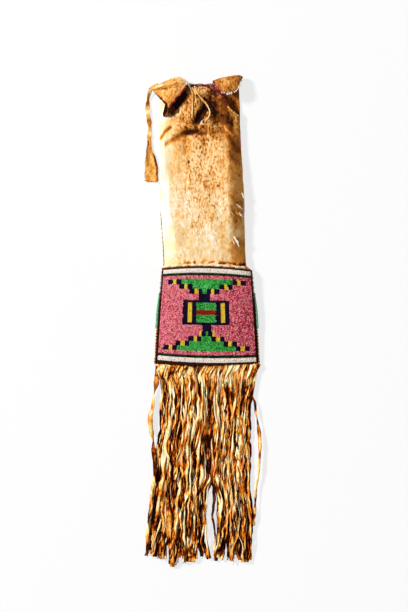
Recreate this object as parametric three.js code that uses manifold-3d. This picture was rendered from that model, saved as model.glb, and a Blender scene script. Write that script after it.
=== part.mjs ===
// A beaded hide tobacco bag lying on its back, in mm: +X to the right, +Y towards the mouth, +Z up.
// The origin is on the resting plane, under the middle of the beadwork.

import * as THREE from "three";
import { mergeVertices } from "three/addons/utils/BufferGeometryUtils.js";
import { LoftGeometry } from "three/addons/geometries/LoftGeometry.js";
import Module from "manifold-3d";

const wasm = await Module();
wasm.setup();

// Hide and seats
const hideThickness = 2;
const seatGap = 0.3; // between pieces sewn or laid against each other

// Beadwork, from its upper edge down
const laneHeight = 8.7; // one lane of stitched bead strings
const upperLineHeight = 2.1;
const upperMarginHeight = 7.7;
const stemLaneHeight = 11.2;
const boxLaneHeight = 8.6;
const boxLanes = 5;
const lowerMarginHeight = 7.4;
const lowerLineHeight = 4;
const panelTopWidth = 153;
const panelBottomWidth = 175.5;
const panelTopCrown = 4.5; // drop of the upper edge at its ends
const panelBottomCrown = 3.5; // rise of the lower edge at its ends
const panelTilt = 1.6; // the right end sits this much lower
const panelClearance = 1.2; // between the beadwork and the domed hide under it
const beadValley = 1.5; // bead height between two lanes
const beadCrown = 2.5; // bead height along a lane's middle
const backLanes = 19;
const backCrown = 0.6; // share of a back lane that lies flat

// Stepped design, from its middle outwards, as measured at half height
const notchHalf = 3.9; // green notch in the upper stem
const upperArmWidth = 6.6;
const upperStepWidth = 8.1;
const peakHalf = 2; // green peak in the lower stem
const lowerArmWidth = 6.2;
const lowerStepWidth = 7.5;
const peakYellowWidth = 5;
const stepOverlap = 2; // steps of neighbouring lanes share this much of an edge
const boxCoreHalf = 17.4;
const boxInnerWidth = 7.7;
const boxBarWidth = 7.7;
const boxOuterWidth = 7.9;
const boxFrame = 3.8; // dark frame above and below the bars
const redBarHeight = 7.6;

// Hide bag
const bodyBorder = 1.5; // hide that shows beside the beadwork
const hemBelowPanel = 3; // the hide goes on below the beadwork
const pouchBottomDepth = 13;
const pouchDepth = 25; // at the middle of the beadwork
const seamDepth = 27;
const neckDepth = 36;
const gatherDepth = 25;
const mouthDepth = 23;
const neckLength = 322.5; // beadwork to back rim
const neckSeamWidth = 145;
const neckWidth = 148;
const mouthWidth = 141;
const neckSeamShift = -3.5; // the neck leans left
const mouthShift = -12.5;
const gatherBelowRim = 77;
const pleatDepth = 5;
const pleatPitch = 24;
const pleatReach = 15; // along the neck, each way
const sideShare = 0.36; // height of the widest line, as a share of the depth
const backStepStart = 2; // above the beadwork the back wall comes down to the resting plane
const backStepLength = 28;
// Front rim below the back rim, from left to right
const frontRimDrops = [[0, 28], [0.38, 7], [0.6, 6], [0.76, 20], [0.86, 41], [1, 57]];

// Ears, from the corners of the back rim
const leftEarCrest = [[-12.4, -9.5, 9], [-2.8, -1, 16], [15, 6, 25], [36, 9, 28], [46, 3.6, 27]];
const leftEarEdge = [[-11, -13, 9], [14.7, -38.4, 33], [45, -3.4, 30]];
const rightEarCrest = [[-45, 3.6, 27], [-38, 7, 28], [-16.7, 12.4, 27], [0.8, 12.6, 20], [4.7, 8, 13]];
const rightEarEdge = [[-47, 2, 30], [-33, -10, 33], [-18, -17, 33], [-5, -8, 27], [3, 4, 13]];
const earBaseReach = 6; // how far the ears run into the back wall
const earBaseOuter = 17; // the ears' bases, from the corners of the back rim
const earBaseInner = 42;
const edgingRadius = 1.3;
const backEdgingReach = 22; // each way from the middle of the back rim

// Drawstring, from the middle of the back rim
const thongWidth = 4.2;
const thongThickness = 1.6;
const thongLift = 1.9; // thong middle above the hide
const slitWidth = 7;
const slitLength = 7;
const leftSlit = [-13.5, -64];
const rightSlit = [6, -75];
const leftRun = [
  [-21, 4, 5], [-18.5, -3, 3], [-15, -11, 0], [-12.5, -21, 0], [-13, -40, 0], [-13.4, -53, 0.4],
];
const rightRun = [
  [10, -66, 0.8], [16, -57, 0.6], [17.4, -48, 0], [12.5, -37, 0], [5.5, -29, 0], [-3, -18, 0], [-9, -8, 1],
];

// Drawstring tail, from the left corner of the mouth
const tailWidth = 6;
const tailRoute = [
  [-16.2, -8.5, 9.5], [-18.8, -16, 7], [-21, -28, 3], [-21.5, -39, 1.1], [-20.5, -52, 1.1],
  [-18.5, -65, 1.1], [-17.6, -77, 1.1], [-18.2, -89, 1.1], [-18.5, -101, 1.1],
];
const tabLength = 68;
const tabTopWidth = 7;
const tabBottomWidth = 23;
const tabLean = 4.5; // the tab's lower end lies this far to the right
const tabThickness = 2.4;

// Seam lip, lacing and side edging
const lipWidth = 5;
const lipThickness = 2.2;
const lipClearance = 1;
const lipGroove = 3.4; // dark gap between the lip and the beadwork
const laceWidth = 3;
const laceThickness = 1.4;
const laceLength = 16;
const laceSlant = 5;
const laceLift = 0.55;
const upperLaceAbovePanel = 121;
const lowerLaceAbovePanel = 47;
const laceFromSide = 13;
const sideEdgingRadius = 1.7;
const sideEdgingTop = 39;
const sideEdgingBottom = -22;
const weltRadius = 1.5;

// Fringe
const fringeLength = 336;
const fringeHeading = 10;
const headingThickness = 3;
const headingInset = 3; // from each end of the lower seam
const frontStrands = 26;
const backStrands = 14;
const strandWidth = 5.4;
const strandThickness = 1.6;
const strandSteps = 4;
const endScatter = 13; // each strand's end lies up to this far from the mean
const strandSway = 2.2;
const fringeLean = -9; // the ends lie this far to the left
const outerFlare = 8; // the left ends spread out
const strayBow = 10; // the outermost strands bow out
const partSpread = 4; // the fringe parts right of its middle
const partPlace = 14;

// Colours and finishes
const material = (color, roughness) => new THREE.MeshStandardMaterial({ color, roughness, metalness: 0 });
const hide = () => material(0xe2b87a, 0.9);
const fringeHide = () => material(0xc98a3c, 0.9);
const pinkBeads = () => material(0xe0707e, 0.4);
const greenBeads = () => material(0x1f8a35, 0.4);
const navyBeads = () => material(0x17123a, 0.35);
const yellowBeads = () => material(0xedbb32, 0.4);
const redBeads = () => material(0xa01c1c, 0.4);
const whiteBeads = () => material(0xf3e8dd, 0.4);
const darkGreenBeads = () => material(0x0b3a1e, 0.4);
const tealBeads = () => material(0x2f9a6a, 0.4);
const edgingBeads = () => material(0xb8485c, 0.45);

const bag = new THREE.Group();

const blend = (from, to, share) => from + (to - from) * share;
const counted = (count, make) => Array.from({ length: count }, (_, i) => make(i));
const stepped = (from, to, count) => counted(count + 1, (i) => blend(from, to, i / count));

// Solids

function tidied(geometry) {
  const bare = new THREE.BufferGeometry();
  bare.setAttribute("position", geometry.attributes.position);
  bare.setIndex(geometry.index);
  return mergeVertices(bare, 1e-4);
}

function solidOf(geometry) {
  const merged = tidied(geometry);
  const faces = [];
  for (let i = 0; i < merged.index.count; i += 3) {
    const [a, b, c] = [merged.index.getX(i), merged.index.getX(i + 1), merged.index.getX(i + 2)];
    if (a !== b && b !== c && c !== a) faces.push(a, b, c);
  }
  const mesh = new wasm.Mesh({
    numProp: 3,
    vertProperties: new Float32Array(merged.attributes.position.array),
    triVerts: new Uint32Array(faces),
  });
  return new wasm.Manifold(mesh);
}

function addPiece(name, solid, finish) {
  const { vertProperties, triVerts } = solid.getMesh();
  const geometry = new THREE.BufferGeometry();
  geometry.setAttribute("position", new THREE.BufferAttribute(vertProperties, 3));
  geometry.setIndex(new THREE.BufferAttribute(triVerts, 1));
  geometry.computeVertexNormals();
  const mesh = new THREE.Mesh(geometry, finish);
  mesh.name = name;
  bag.add(mesh);
}

const joined = (solids) => wasm.Manifold.union(solids);

function tube(points, radius, steps, sides = 6) {
  const section = new THREE.Shape();
  for (let i = 0; i < sides; i++) {
    const turn = (2 * Math.PI * i) / sides;
    if (i === 0) section.moveTo(radius, 0);
    else section.lineTo(radius * Math.cos(turn), radius * Math.sin(turn));
  }
  const extrudePath = new THREE.CatmullRomCurve3(points);
  return solidOf(new THREE.ExtrudeGeometry(section, { steps, extrudePath, bevelEnabled: false }));
}

// A flat strap along a route, kept level across its width
function strap(points, width, thickness, steps) {
  const route = new THREE.CatmullRomCurve3(points);
  const sections = stepped(0, 1, steps).map((share) => {
    const middle = route.getPointAt(share);
    const along = route.getTangentAt(share);
    const across = new THREE.Vector3(-along.y, along.x, 0).setLength(width / 2);
    const up = along.clone().cross(across).setLength(thickness / 2);
    const corner = (side, face) => middle.clone().addScaledVector(across, side).addScaledVector(up, face);
    return [corner(-1, -1), corner(1, -1), corner(1, 1), corner(-1, 1)];
  });
  return solidOf(new LoftGeometry(sections, { capStart: true, capEnd: true }));
}

// A bent sheet of even thickness about a grid of points, with its first and last rows closed to an edge
function sheet(grid, thickness) {
  const last = grid.length - 1;
  const sections = grid.map((row, i) => {
    const before = grid[Math.max(i - 1, 0)];
    const after = grid[Math.min(i + 1, last)];
    const offset = row.map((_, j) => {
      const lengthwise = after[j].clone().sub(before[j]);
      const crosswise = row[Math.min(j + 1, row.length - 1)].clone().sub(row[Math.max(j - 1, 0)]);
      return lengthwise.cross(crosswise).setLength(thickness / 2);
    });
    const below = row.map((point, j) => point.clone().sub(offset[j]));
    const above = row.map((point, j) => point.clone().add(offset[j])).reverse();
    return [...below, ...above];
  });
  const closed = (row, next) => {
    const edge = row.map((point, j) => {
      const beyond = point.clone().sub(next[j]).setLength(thickness / 4);
      return beyond.add(point);
    });
    return [...edge, ...edge.slice().reverse()];
  };
  const first = closed(grid[0], grid[1]);
  const end = closed(grid[last], grid[last - 1]);
  return solidOf(new LoftGeometry([first, ...sections, end]));
}

// A body through like rings of points, faced at both ends by the given triangles of its ring
function faced(rings, endFaces) {
  const count = rings[0].length;
  const lastRing = (rings.length - 1) * count;
  const faces = [];
  for (let ring = 0; ring < lastRing; ring += count) {
    for (let i = 0; i < count; i++) {
      const [a, b] = [ring + i, ring + ((i + 1) % count)];
      faces.push(a, b, b + count, a, b + count, a + count);
    }
  }
  for (const [a, b, c] of endFaces) {
    faces.push(c, b, a, lastRing + a, lastRing + b, lastRing + c);
  }
  const body = new THREE.BufferGeometry().setFromPoints(rings.flat());
  return solidOf(body.setIndex(faces));
}

// A value that runs smoothly through a few stations along one axis
function through(stations) {
  const slope = (i) => {
    const before = stations[Math.max(i - 1, 0)];
    const after = stations[Math.min(i + 1, stations.length - 1)];
    return (after[1] - before[1]) / (after[0] - before[0]);
  };
  return (at) => {
    const last = stations.length - 1;
    if (at <= stations[0][0]) return stations[0][1];
    if (at >= stations[last][0]) return stations[last][1];
    const i = stations.findIndex((station) => station[0] > at) - 1;
    const span = stations[i + 1][0] - stations[i][0];
    const t = (at - stations[i][0]) / span;
    const held = (1 + 2 * t) * (1 - t) ** 2 * stations[i][1] + t * t * (3 - 2 * t) * stations[i + 1][1];
    const turned = t * (1 - t) ** 2 * slope(i) * span - t * t * (1 - t) * slope(i + 1) * span;
    return held + turned;
  };
}

// Lanes of the beadwork

const lanes = {};
const laneEdges = [];
const laneList = [
  ["upperBand", laneHeight], ["upperLine", upperLineHeight], ["upperMargin", upperMarginHeight],
  ["upper0", laneHeight], ["upper1", laneHeight], ["upper2", laneHeight], ["upperStem", stemLaneHeight],
  ...counted(boxLanes, (i) => ["box" + i, boxLaneHeight]),
  ["lowerStem", stemLaneHeight], ["lower3", laneHeight], ["lower2", laneHeight], ["lower1", laneHeight],
  ["lower0", laneHeight], ["lowerMargin", lowerMarginHeight], ["lowerLine", lowerLineHeight],
  ["lowerBand", laneHeight],
];
const panelHeight = laneList.reduce((sum, lane) => sum + lane[1], 0);
let laneTop = panelHeight / 2;
for (const [name, height] of laneList) {
  lanes[name] = { top: laneTop, bottom: laneTop - height };
  laneEdges.push(laneTop);
  laneTop -= height;
}
laneEdges.push(laneTop);

const panelTop = panelHeight / 2;
const panelMiddleHalf = (panelTopWidth + panelBottomWidth) / 4;
const panelShare = (y) => y / panelHeight + 0.5;
const panelHalf = (y) => blend(panelBottomWidth, panelTopWidth, panelShare(y)) / 2;

// Where a point of the flat design lies on the bag, seen from above
function onPanel(x, y) {
  const across = x / panelMiddleHalf;
  const crown = blend(-panelBottomCrown, panelTopCrown, panelShare(y));
  return new THREE.Vector2(across * panelHalf(y), y - crown * across * across - panelTilt * across);
}

// Outline of the hide along its length

const backPanelThickness = beadCrown;
const bodyBottom = -panelTop - hemBelowPanel;
const backRim = panelTop + neckLength;
const gatherLine = backRim - gatherBelowRim;
const neckStart = panelTop + lipGroove / 2;
const shoulder = panelTop - hemBelowPanel; // the neck starts to lean here
const neckMiddle = blend(neckStart, gatherLine, 0.5);

const bodyHalf = through([
  [bodyBottom, panelHalf(-panelTop) + bodyBorder],
  [panelTop - panelTopCrown + panelTilt + 1, panelHalf(panelTop) + bodyBorder],
  [neckStart + 4, neckSeamWidth / 2], [neckMiddle, neckWidth / 2], [gatherLine, mouthWidth / 2],
  [backRim, mouthWidth / 2],
]);
const bodyShift = through([
  [shoulder, 0], [neckStart, neckSeamShift], [gatherLine, mouthShift], [backRim, mouthShift],
]);
const bodyDepth = through([
  [bodyBottom, pouchBottomDepth], [0, pouchDepth], [panelTop, seamDepth], [neckMiddle, neckDepth],
  [gatherLine, gatherDepth], [backRim, mouthDepth],
]);
const backStep = panelTop + backStepStart;
const onBackPanel = (y) => 1 - THREE.MathUtils.smoothstep(y, backStep, backStep + backStepLength);
const bodyFloor = (y) => (backPanelThickness + seatGap) * onBackPanel(y);
const frontPower = 2.8; // how square the shoulders are
const backPower = 7;
const rimDrop = through(frontRimDrops);

const pleat = (x, y) => pleatDepth * Math.exp(-(((y - gatherLine) / pleatReach) ** 2))
  * Math.cos((Math.PI * (x - mouthShift)) / pleatPitch) ** 2;

const bodySide = (y) => blend(bodyFloor(y), bodyDepth(y), sideShare);

function frontZ(x, y, inset = 0) {
  const across = Math.min(Math.abs(x - bodyShift(y)) / (bodyHalf(y) - inset), 1);
  const rise = (1 - across ** frontPower) ** 0.5;
  return bodySide(y) + (bodyDepth(y) - inset - bodySide(y)) * rise - pleat(x, y) * rise;
}

const frontPoints = 20;
const backPoints = 8;

// One closed section of the hide at a height along the neck; above the gather it follows the rim
function hideSection(y, towardsRim, inset) {
  const points = [];
  for (let i = 0; i < frontPoints + backPoints; i++) {
    const front = i < frontPoints;
    const turn = front ? (Math.PI * i) / frontPoints : Math.PI * (1 + (i - frontPoints) / backPoints);
    const rise = Math.sin(turn);
    const spread = Math.abs(Math.cos(turn)) ** (2 / (front ? frontPower : backPower));
    const across = -Math.sign(Math.cos(turn)) * spread;
    const slit = THREE.MathUtils.smoothstep(rise, -0.5, 0.05);
    const rim = backRim - rimDrop(across / 2 + 0.5) * slit;
    const at = blend(y, rim, towardsRim);
    const x = bodyShift(at) + (bodyHalf(at) - inset) * across;
    const floor = bodyFloor(at) + inset;
    const z = front ? frontZ(x, at, inset) : blend(bodySide(at), floor, Math.abs(rise) ** (2 / backPower));
    points.push(new THREE.Vector3(x, at, z));
  }
  return points;
}

function pole(section) {
  const middle = new THREE.Vector3();
  for (const point of section) middle.addScaledVector(point, 1 / section.length);
  return section.map(() => middle);
}

const pouchStations = [bodyBottom, -panelTop * 0.6, -panelTop * 0.2, panelTop * 0.4, shoulder];
const neckShares = [0.19, 0.48, 0.8];
const alongNeck = neckShares.map((share) => blend(neckStart, gatherLine, share));
const neckStations = [neckStart + 4, ...alongNeck];
const gatherStations = [-0.65, 0].map((reach) => gatherLine + reach * pleatReach);
const rimShares = [0.18, 0.45, 1];

function hideShell() {
  const stations = [...pouchStations, ...neckStations, ...gatherStations];
  const outer = stations.map((y) => hideSection(y, 0, 0));
  const inner = stations.map((y, i) => hideSection(i ? y : y + 2 * hideThickness, 0, hideThickness));
  for (const share of rimShares) {
    outer.push(hideSection(gatherLine, share, 0));
    inner.push(hideSection(gatherLine, share, hideThickness));
  }
  inner.reverse();
  const sections = [pole(outer[0]), ...outer, ...inner, pole(inner[inner.length - 1])];
  return solidOf(new LoftGeometry(sections));
}

const curveOf = (corner, points) => new THREE.CatmullRomCurve3(
  points.map(([x, y, z]) => new THREE.Vector3(corner.x + x, corner.y + y, z)),
);

// A corner of the back that rises from the back rim, rolls over its crest and comes forward to a free edge
function ear(corner, crestPoints, edgePoints, baseFrom, baseTo) {
  const crest = curveOf(corner, crestPoints);
  const edge = curveOf(corner, edgePoints);
  const along = 8;
  const around = 7;
  const grid = [];
  for (let i = 0; i <= along; i++) {
    const top = crest.getPoint(i / along);
    const free = edge.getPoint(i / along);
    const baseX = blend(baseFrom, baseTo, i / along);
    const base = new THREE.Vector3(baseX, backRim - earBaseReach, hideThickness * 0.6);
    const rim = new THREE.Vector3(blend(baseX, top.x, 0.15), backRim + 1, hideThickness * 0.95);
    const roll = new THREE.Vector3(blend(baseX, top.x, 0.8), top.y + 0.5, top.z * 0.55);
    grid.push(new THREE.CatmullRomCurve3([base, rim, roll, top, free]).getPoints(around));
  }
  return { solid: sheet(grid, hideThickness * 0.9), edge, crest };
}

const leftCorner = new THREE.Vector2(mouthShift - mouthWidth / 2, backRim);
const rightCorner = new THREE.Vector2(mouthShift + mouthWidth / 2, backRim);
const [leftOuter, leftInner] = [earBaseOuter, earBaseInner].map((reach) => leftCorner.x + reach);
const [rightOuter, rightInner] = [earBaseOuter, earBaseInner].map((reach) => rightCorner.x - reach);
const leftEar = ear(leftCorner, leftEarCrest, leftEarEdge, leftOuter, leftInner);
const rightEar = ear(rightCorner, rightEarCrest, rightEarEdge, rightInner, rightOuter);

const overHide = (x, y, lift) => new THREE.Vector3(x, y, frontZ(x, y) + lift);
const overMouth = ([x, y], lift) => overHide(mouthShift + x, backRim + y, lift);

function slitCutter([x, y]) {
  const box = new THREE.BoxGeometry(slitWidth, slitLength, gatherDepth * 0.6);
  box.translate(mouthShift + x, backRim + y, frontZ(mouthShift + x, backRim + y));
  return solidOf(box);
}

const slits = joined([slitCutter(leftSlit), slitCutter(rightSlit)]);
addPiece("hide_bag", joined([hideShell(), leftEar.solid, rightEar.solid]).subtract(slits), hide());

// Bead edging of the mouth

function rimPoint(share) {
  const y = backRim - rimDrop(share);
  const x = bodyShift(y) + bodyHalf(y) * (2 * share - 1);
  return new THREE.Vector3(x, y, frontZ(x, y) - hideThickness / 2);
}

function beyondRim(share) {
  const along = rimPoint(share + 0.02).sub(rimPoint(share - 0.02));
  const outward = new THREE.Vector3(-along.y, along.x, 0).setLength(edgingRadius + seatGap * 2);
  return rimPoint(share).add(outward);
}

function beyondEar({ edge, crest }, share) {
  const free = edge.getPoint(share);
  const along = edge.getTangent(share);
  const outward = free.clone().sub(crest.getPoint(share));
  outward.addScaledVector(along, -outward.dot(along)).setLength(edgingRadius + seatGap * 3);
  return free.add(outward);
}

const frontRimPath = stepped(0.47, 0.84, 8).map(beyondRim);
addPiece("front_rim_edging", tube(frontRimPath, edgingRadius, 8), edgingBeads());
const backRimPath = stepped(-backEdgingReach, backEdgingReach, 2).map((x) => new THREE.Vector3(
  mouthShift + x, backRim + edgingRadius + seatGap, edgingRadius + seatGap / 2,
));
addPiece("back_rim_edging", tube(backRimPath, edgingRadius, 2), edgingBeads());
const earPath = (side, from, to) => stepped(from, to, 6).map((share) => beyondEar(side, share));
addPiece("left_ear_edging", tube(earPath(leftEar, 0.56, 0.95), edgingRadius, 7), edgingBeads());
addPiece("right_ear_edging", tube(earPath(rightEar, 0.03, 0.3), edgingRadius, 4), edgingBeads());
addPiece("right_ear_white_edging", tube(earPath(rightEar, 0.34, 0.9), edgingRadius, 8), whiteBeads());

// A thong that lies on the hide: its route is across and along from the middle of the back rim, with a lift
function thongOnHide(route, width, thickness, steps) {
  const curve = new THREE.CatmullRomCurve3(route.map((point) => new THREE.Vector3(...point)));
  const grid = stepped(0, 1, steps).map((share) => {
    const middle = curve.getPointAt(share);
    const along = curve.getTangentAt(share);
    const across = new THREE.Vector2(-along.y, along.x).setLength(width / 2);
    return [1, -1].map((side) => overHide(
      mouthShift + middle.x + side * across.x, backRim + middle.y + side * across.y, middle.z,
    ));
  });
  return sheet(grid, thickness);
}

const onFront = ([x, y, extra]) => [x, y, thongLift + extra];
const throughSlit = ([x, y]) => [
  [x, y + slitLength * 0.2, thongLift * 0.5],
  [x, y - slitLength * 0.14, -hideThickness * 2.4],
];
const linkMiddle = leftSlit.map((value, i) => blend(value, rightSlit[i], 0.5));
const thongRoute = [
  ...leftRun.map(onFront), ...throughSlit(leftSlit), [...linkMiddle, -hideThickness * 2.8],
  ...throughSlit(rightSlit).reverse(), ...rightRun.map(onFront),
];
addPiece("drawstring", thongOnHide(thongRoute, thongWidth, thongThickness, 36), hide());

const tailPoints = tailRoute.map(([x, y, z]) => new THREE.Vector3(leftCorner.x + x, backRim + y, z));
addPiece("drawstring_tail", strap(tailPoints, tailWidth, thongThickness, 10), hide());

const tabTop = tailPoints[tailPoints.length - 1];
const tabGrid = stepped(0, 1, 4).map((share) => {
  const half = blend(tabTopWidth, tabBottomWidth, share) / 2;
  const y = tabTop.y - tabThickness / 4 - seatGap - share * tabLength;
  return stepped(-1, 1, 2).map((side) => new THREE.Vector3(
    tabTop.x + tabLean * share + side * half, y, tabThickness / 2 + share * 1.6 * (1 - side * side),
  ));
});
addPiece("drawstring_tab", sheet(tabGrid, tabThickness), hide());

// Hem lip of the neck, over the beadwork

function lipSections() {
  const middle = panelTop + lipGroove;
  const reach = bodyHalf(middle + lipWidth) * 0.96;
  return stepped(-1, 1, 14).map((across) => {
    const x = bodyShift(middle) + across * reach;
    const low = onPanel((x * panelMiddleHalf) / panelHalf(panelTop), panelTop).y + lipGroove;
    const corner = (y, lift) => overHide(x, y, lipClearance + lift);
    const high = low + lipWidth;
    return [corner(low, 0), corner(high, 0), corner(high, lipThickness), corner(low, lipThickness)];
  });
}
const lip = new LoftGeometry(lipSections(), { capStart: true, capEnd: true });
addPiece("neck_hem_lip", solidOf(lip), hide());

function lace(abovePanel) {
  const grid = stepped(-0.5, 0.5, 4).map((share) => {
    const y = panelTop + abovePanel + share * laceLength;
    const x = bodyShift(y) + bodyHalf(y) - laceFromSide - share * laceSlant;
    return [-1, 1].map((side) => overHide(x + (side * laceWidth) / 2, y, laceThickness * 0.5 + laceLift));
  });
  return sheet(grid.reverse(), laceThickness);
}
addPiece("upper_side_lace", lace(upperLaceAbovePanel), hide());
addPiece("lower_side_lace", lace(lowerLaceAbovePanel), hide());

// Front beadwork

// A slab of lanes, each a ridge with a rounded or a flat crown
function beadSlab(sides, edges, flatCrown, place) {
  const under = edges.map((y) => [y, 0]).reverse();
  const over = [];
  const endFaces = [];
  const perLane = flatCrown ? 3 : 2;
  for (let i = 1; i < edges.length; i++) {
    const [high, low] = [edges[i - 1], edges[i]];
    const crownHalf = ((high - low) / 2) * flatCrown;
    const middle = (high + low) / 2;
    const [underLow, underHigh] = [edges.length - 1 - i, edges.length - i];
    const overHigh = under.length + over.length;
    endFaces.push([underLow, underHigh, overHigh]);
    for (let j = 0; j < perLane; j++) endFaces.push([underLow, overHigh + j, overHigh + j + 1]);
    over.push([high, beadValley], [middle + crownHalf, beadCrown]);
    if (flatCrown) over.push([middle - crownHalf, beadCrown]);
  }
  over.push([-panelTop, beadValley]);
  const outline = [...under, ...over];
  const rings = sides.map((side) => outline.map(([y, z]) => place(side * panelMiddleHalf, y, z)));
  return faced(rings, endFaces);
}

const frontSides = [-1, -0.93, -0.8, -0.45, 0.45, 0.8, 0.93, 1];
const frontSlab = beadSlab(frontSides, laneEdges, 0, (x, y, z) => {
  const at = onPanel(x, y);
  return overHide(at.x, at.y, panelClearance + z);
});

// A prism over a rectangle of the flat design, grown or shrunk by a margin
function beadPrism({ from, to, top, bottom }, margin) {
  const xs = stepped(from - margin, to + margin, Math.ceil((to - from) / 25));
  const upper = xs.map((x) => onPanel(x, top + margin));
  const lower = xs.map((x) => onPanel(x, bottom - margin)).reverse();
  const prism = new THREE.ExtrudeGeometry(new THREE.Shape([...upper, ...lower]), {
    depth: neckDepth * 2, bevelEnabled: false,
  });
  return solidOf(prism);
}

const designSolids = [];

function beads(name, blocks, finish, windows = []) {
  let area = joined(blocks.map((block) => beadPrism(block, -seatGap / 2)));
  if (windows.length) area = area.subtract(joined(windows.map((block) => beadPrism(block, seatGap / 2))));
  designSolids.push(...blocks.map((block) => beadPrism(block, seatGap / 2)));
  addPiece(name, frontSlab.intersect(area), finish);
}

const wide = panelMiddleHalf * 1.1;
const inLane = (lane, from, to) => ({ from, to, ...lanes[lane] });
const acrossLane = (lane) => inLane(lane, -wide, wide);
beads("upper_white_band", [acrossLane("upperBand")], whiteBeads());
beads("upper_green_line", [acrossLane("upperLine")], darkGreenBeads());
beads("lower_green_line", [acrossLane("lowerLine")], darkGreenBeads());
beads("lower_white_band", [acrossLane("lowerBand")], whiteBeads());

const upperStemHalf = notchHalf + upperArmWidth;
const lowerStemHalf = peakHalf + lowerArmWidth;
const upperShift = 3 * upperStepWidth - stepOverlap;
const lowerShift = 3 * lowerStepWidth - stepOverlap;
const upperStarts = [2, 1, 0].map((k) => upperStemHalf - upperStepWidth + k * upperShift);
const lowerStarts = [2, 1, 0].map((k) => lowerStemHalf + k * lowerShift);

const boxTop = lanes.box0.top;
const boxBottom = lanes["box" + (boxLanes - 1)].bottom;
const barFrom = boxCoreHalf + boxInnerWidth;
const barTo = barFrom + boxBarWidth;
const boxHalf = barTo + boxOuterWidth;
const windowTop = boxTop - boxFrame;
const windowBottom = boxBottom + boxFrame;
const redTop = (boxTop + boxBottom + redBarHeight) / 2;
const redBottom = redTop - redBarHeight;
const inBox = (from, to) => ({ from, to, top: windowTop, bottom: windowBottom });
const leftBar = inBox(-barTo, -barFrom);
const rightBar = inBox(barFrom, barTo);
const core = inBox(-boxCoreHalf, boxCoreHalf);
const lap = 1; // blocks of one piece run into each other

beads("navy_box", [
  { from: -boxHalf, to: boxHalf, top: boxTop, bottom: boxBottom },
  { ...inLane("upperStem", -upperStemHalf, upperStemHalf), bottom: boxTop - lap },
  { ...inLane("upper2", -upperStemHalf, -notchHalf), bottom: lanes.upperStem.top - lap },
  { ...inLane("upper2", notchHalf, upperStemHalf), bottom: lanes.upperStem.top - lap },
  { ...inLane("lowerStem", -lowerStemHalf, lowerStemHalf), top: boxBottom + lap },
  { ...inLane("lower3", -lowerStemHalf, -peakHalf), top: lanes.lowerStem.bottom + lap },
  { ...inLane("lower3", peakHalf, lowerStemHalf), top: lanes.lowerStem.bottom + lap },
], navyBeads(), [leftBar, rightBar, core]);
beads("left_yellow_bar", [leftBar], yellowBeads());
beads("right_yellow_bar", [rightBar], yellowBeads());
beads("upper_box_green", [{ ...core, bottom: redTop }], greenBeads());
beads("box_red_bar", [{ ...core, top: redTop, bottom: redBottom }], redBeads());
beads("lower_box_green", [{ ...core, top: redBottom }], greenBeads());

beads("upper_green_field", [
  inLane("upper0", -upperStarts[0], upperStarts[0]),
  { ...inLane("upper1", -upperStarts[1], upperStarts[1]), top: lanes.upper0.bottom + lap },
  { ...inLane("upper2", -notchHalf, notchHalf), top: lanes.upper1.bottom + lap },
], greenBeads());
beads("lower_green_field", [
  inLane("lower0", -lowerStarts[0], lowerStarts[0]),
  { ...inLane("lower1", -lowerStarts[1], lowerStarts[1]), bottom: lanes.lower0.top - lap },
  { ...inLane("lower2", -lowerStarts[2], lowerStarts[2]), bottom: lanes.lower1.top - lap },
  { ...inLane("lower3", -peakHalf, peakHalf), bottom: lanes.lower2.top - lap },
], greenBeads());

// A stair of dark and yellow blocks from the outer corner in to the stem
function stair(end, side, starts, width) {
  const name = side < 0 ? "left_" + end : "right_" + end;
  const block = (lane, from, to) => inLane(end + lane, ...(side < 0 ? [-to, -from] : [from, to]));
  const third = (k, n) => block(k, starts[k] + n * width, starts[k] + (n + 1) * width);
  const inner = (k) => third(k, 0);
  const outer = (k) => third(k, 2);
  beads(name + "_navy_step_1", [outer(0)], navyBeads());
  for (let k = 0; k < starts.length; k++) {
    beads(name + "_yellow_step_" + (k + 1), [third(k, 1)], yellowBeads());
    if (k + 1 === starts.length) break;
    const [above, below] = end === "upper" ? [inner(k), outer(k + 1)] : [outer(k + 1), inner(k)];
    const shared = { from: Math.max(above.from, below.from), to: Math.min(above.to, below.to) };
    const link = { ...shared, top: above.bottom + lap, bottom: above.bottom - lap };
    beads(name + "_navy_step_" + (k + 2), [above, below, link], navyBeads());
  }
  if (end === "lower") {
    beads(name + "_navy_step_4", [inner(2)], navyBeads());
    const peakYellow = block(3, lowerStemHalf, lowerStemHalf + peakYellowWidth);
    beads(name + "_yellow_step_4", [peakYellow], yellowBeads());
  }
}
for (const side of [-1, 1]) {
  stair("upper", side, upperStarts, upperStepWidth);
  stair("lower", side, lowerStarts, lowerStepWidth);
}

const fieldArea = { ...acrossLane("upperMargin"), bottom: lanes.lowerMargin.bottom };
const field = beadPrism(fieldArea, -seatGap / 2);
addPiece("pink_field", frontSlab.intersect(field).subtract(joined(designSolids)), pinkBeads());

// Back beadwork, turned down to the resting plane
const backEdges = stepped(panelTop, -panelTop, backLanes);
const backSlab = beadSlab([-1, 1], backEdges, backCrown, (x, y, z) => new THREE.Vector3(
  (-x * panelHalf(y)) / panelMiddleHalf, y, backPanelThickness - z,
));
addPiece("back_beadwork", backSlab, pinkBeads());

// Side edging of the beadwork, and the hide welt below it
function sideTube(side, radius, top, bottom) {
  const points = stepped(top, bottom, 4).map((y) => new THREE.Vector3(
    side * (bodyHalf(y) + radius + seatGap * 2), y, bodySide(y),
  ));
  return tube(points, radius, 4);
}
for (const [name, side] of [["left", -1], ["right", 1]]) {
  const edging = sideTube(side, sideEdgingRadius, sideEdgingTop, sideEdgingBottom);
  addPiece(name + "_green_edging", edging, tealBeads());
  const welt = sideTube(side, weltRadius, sideEdgingBottom - seatGap, bodyBottom);
  addPiece(name + "_side_welt", welt, hide());
}

// Fringe

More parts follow.
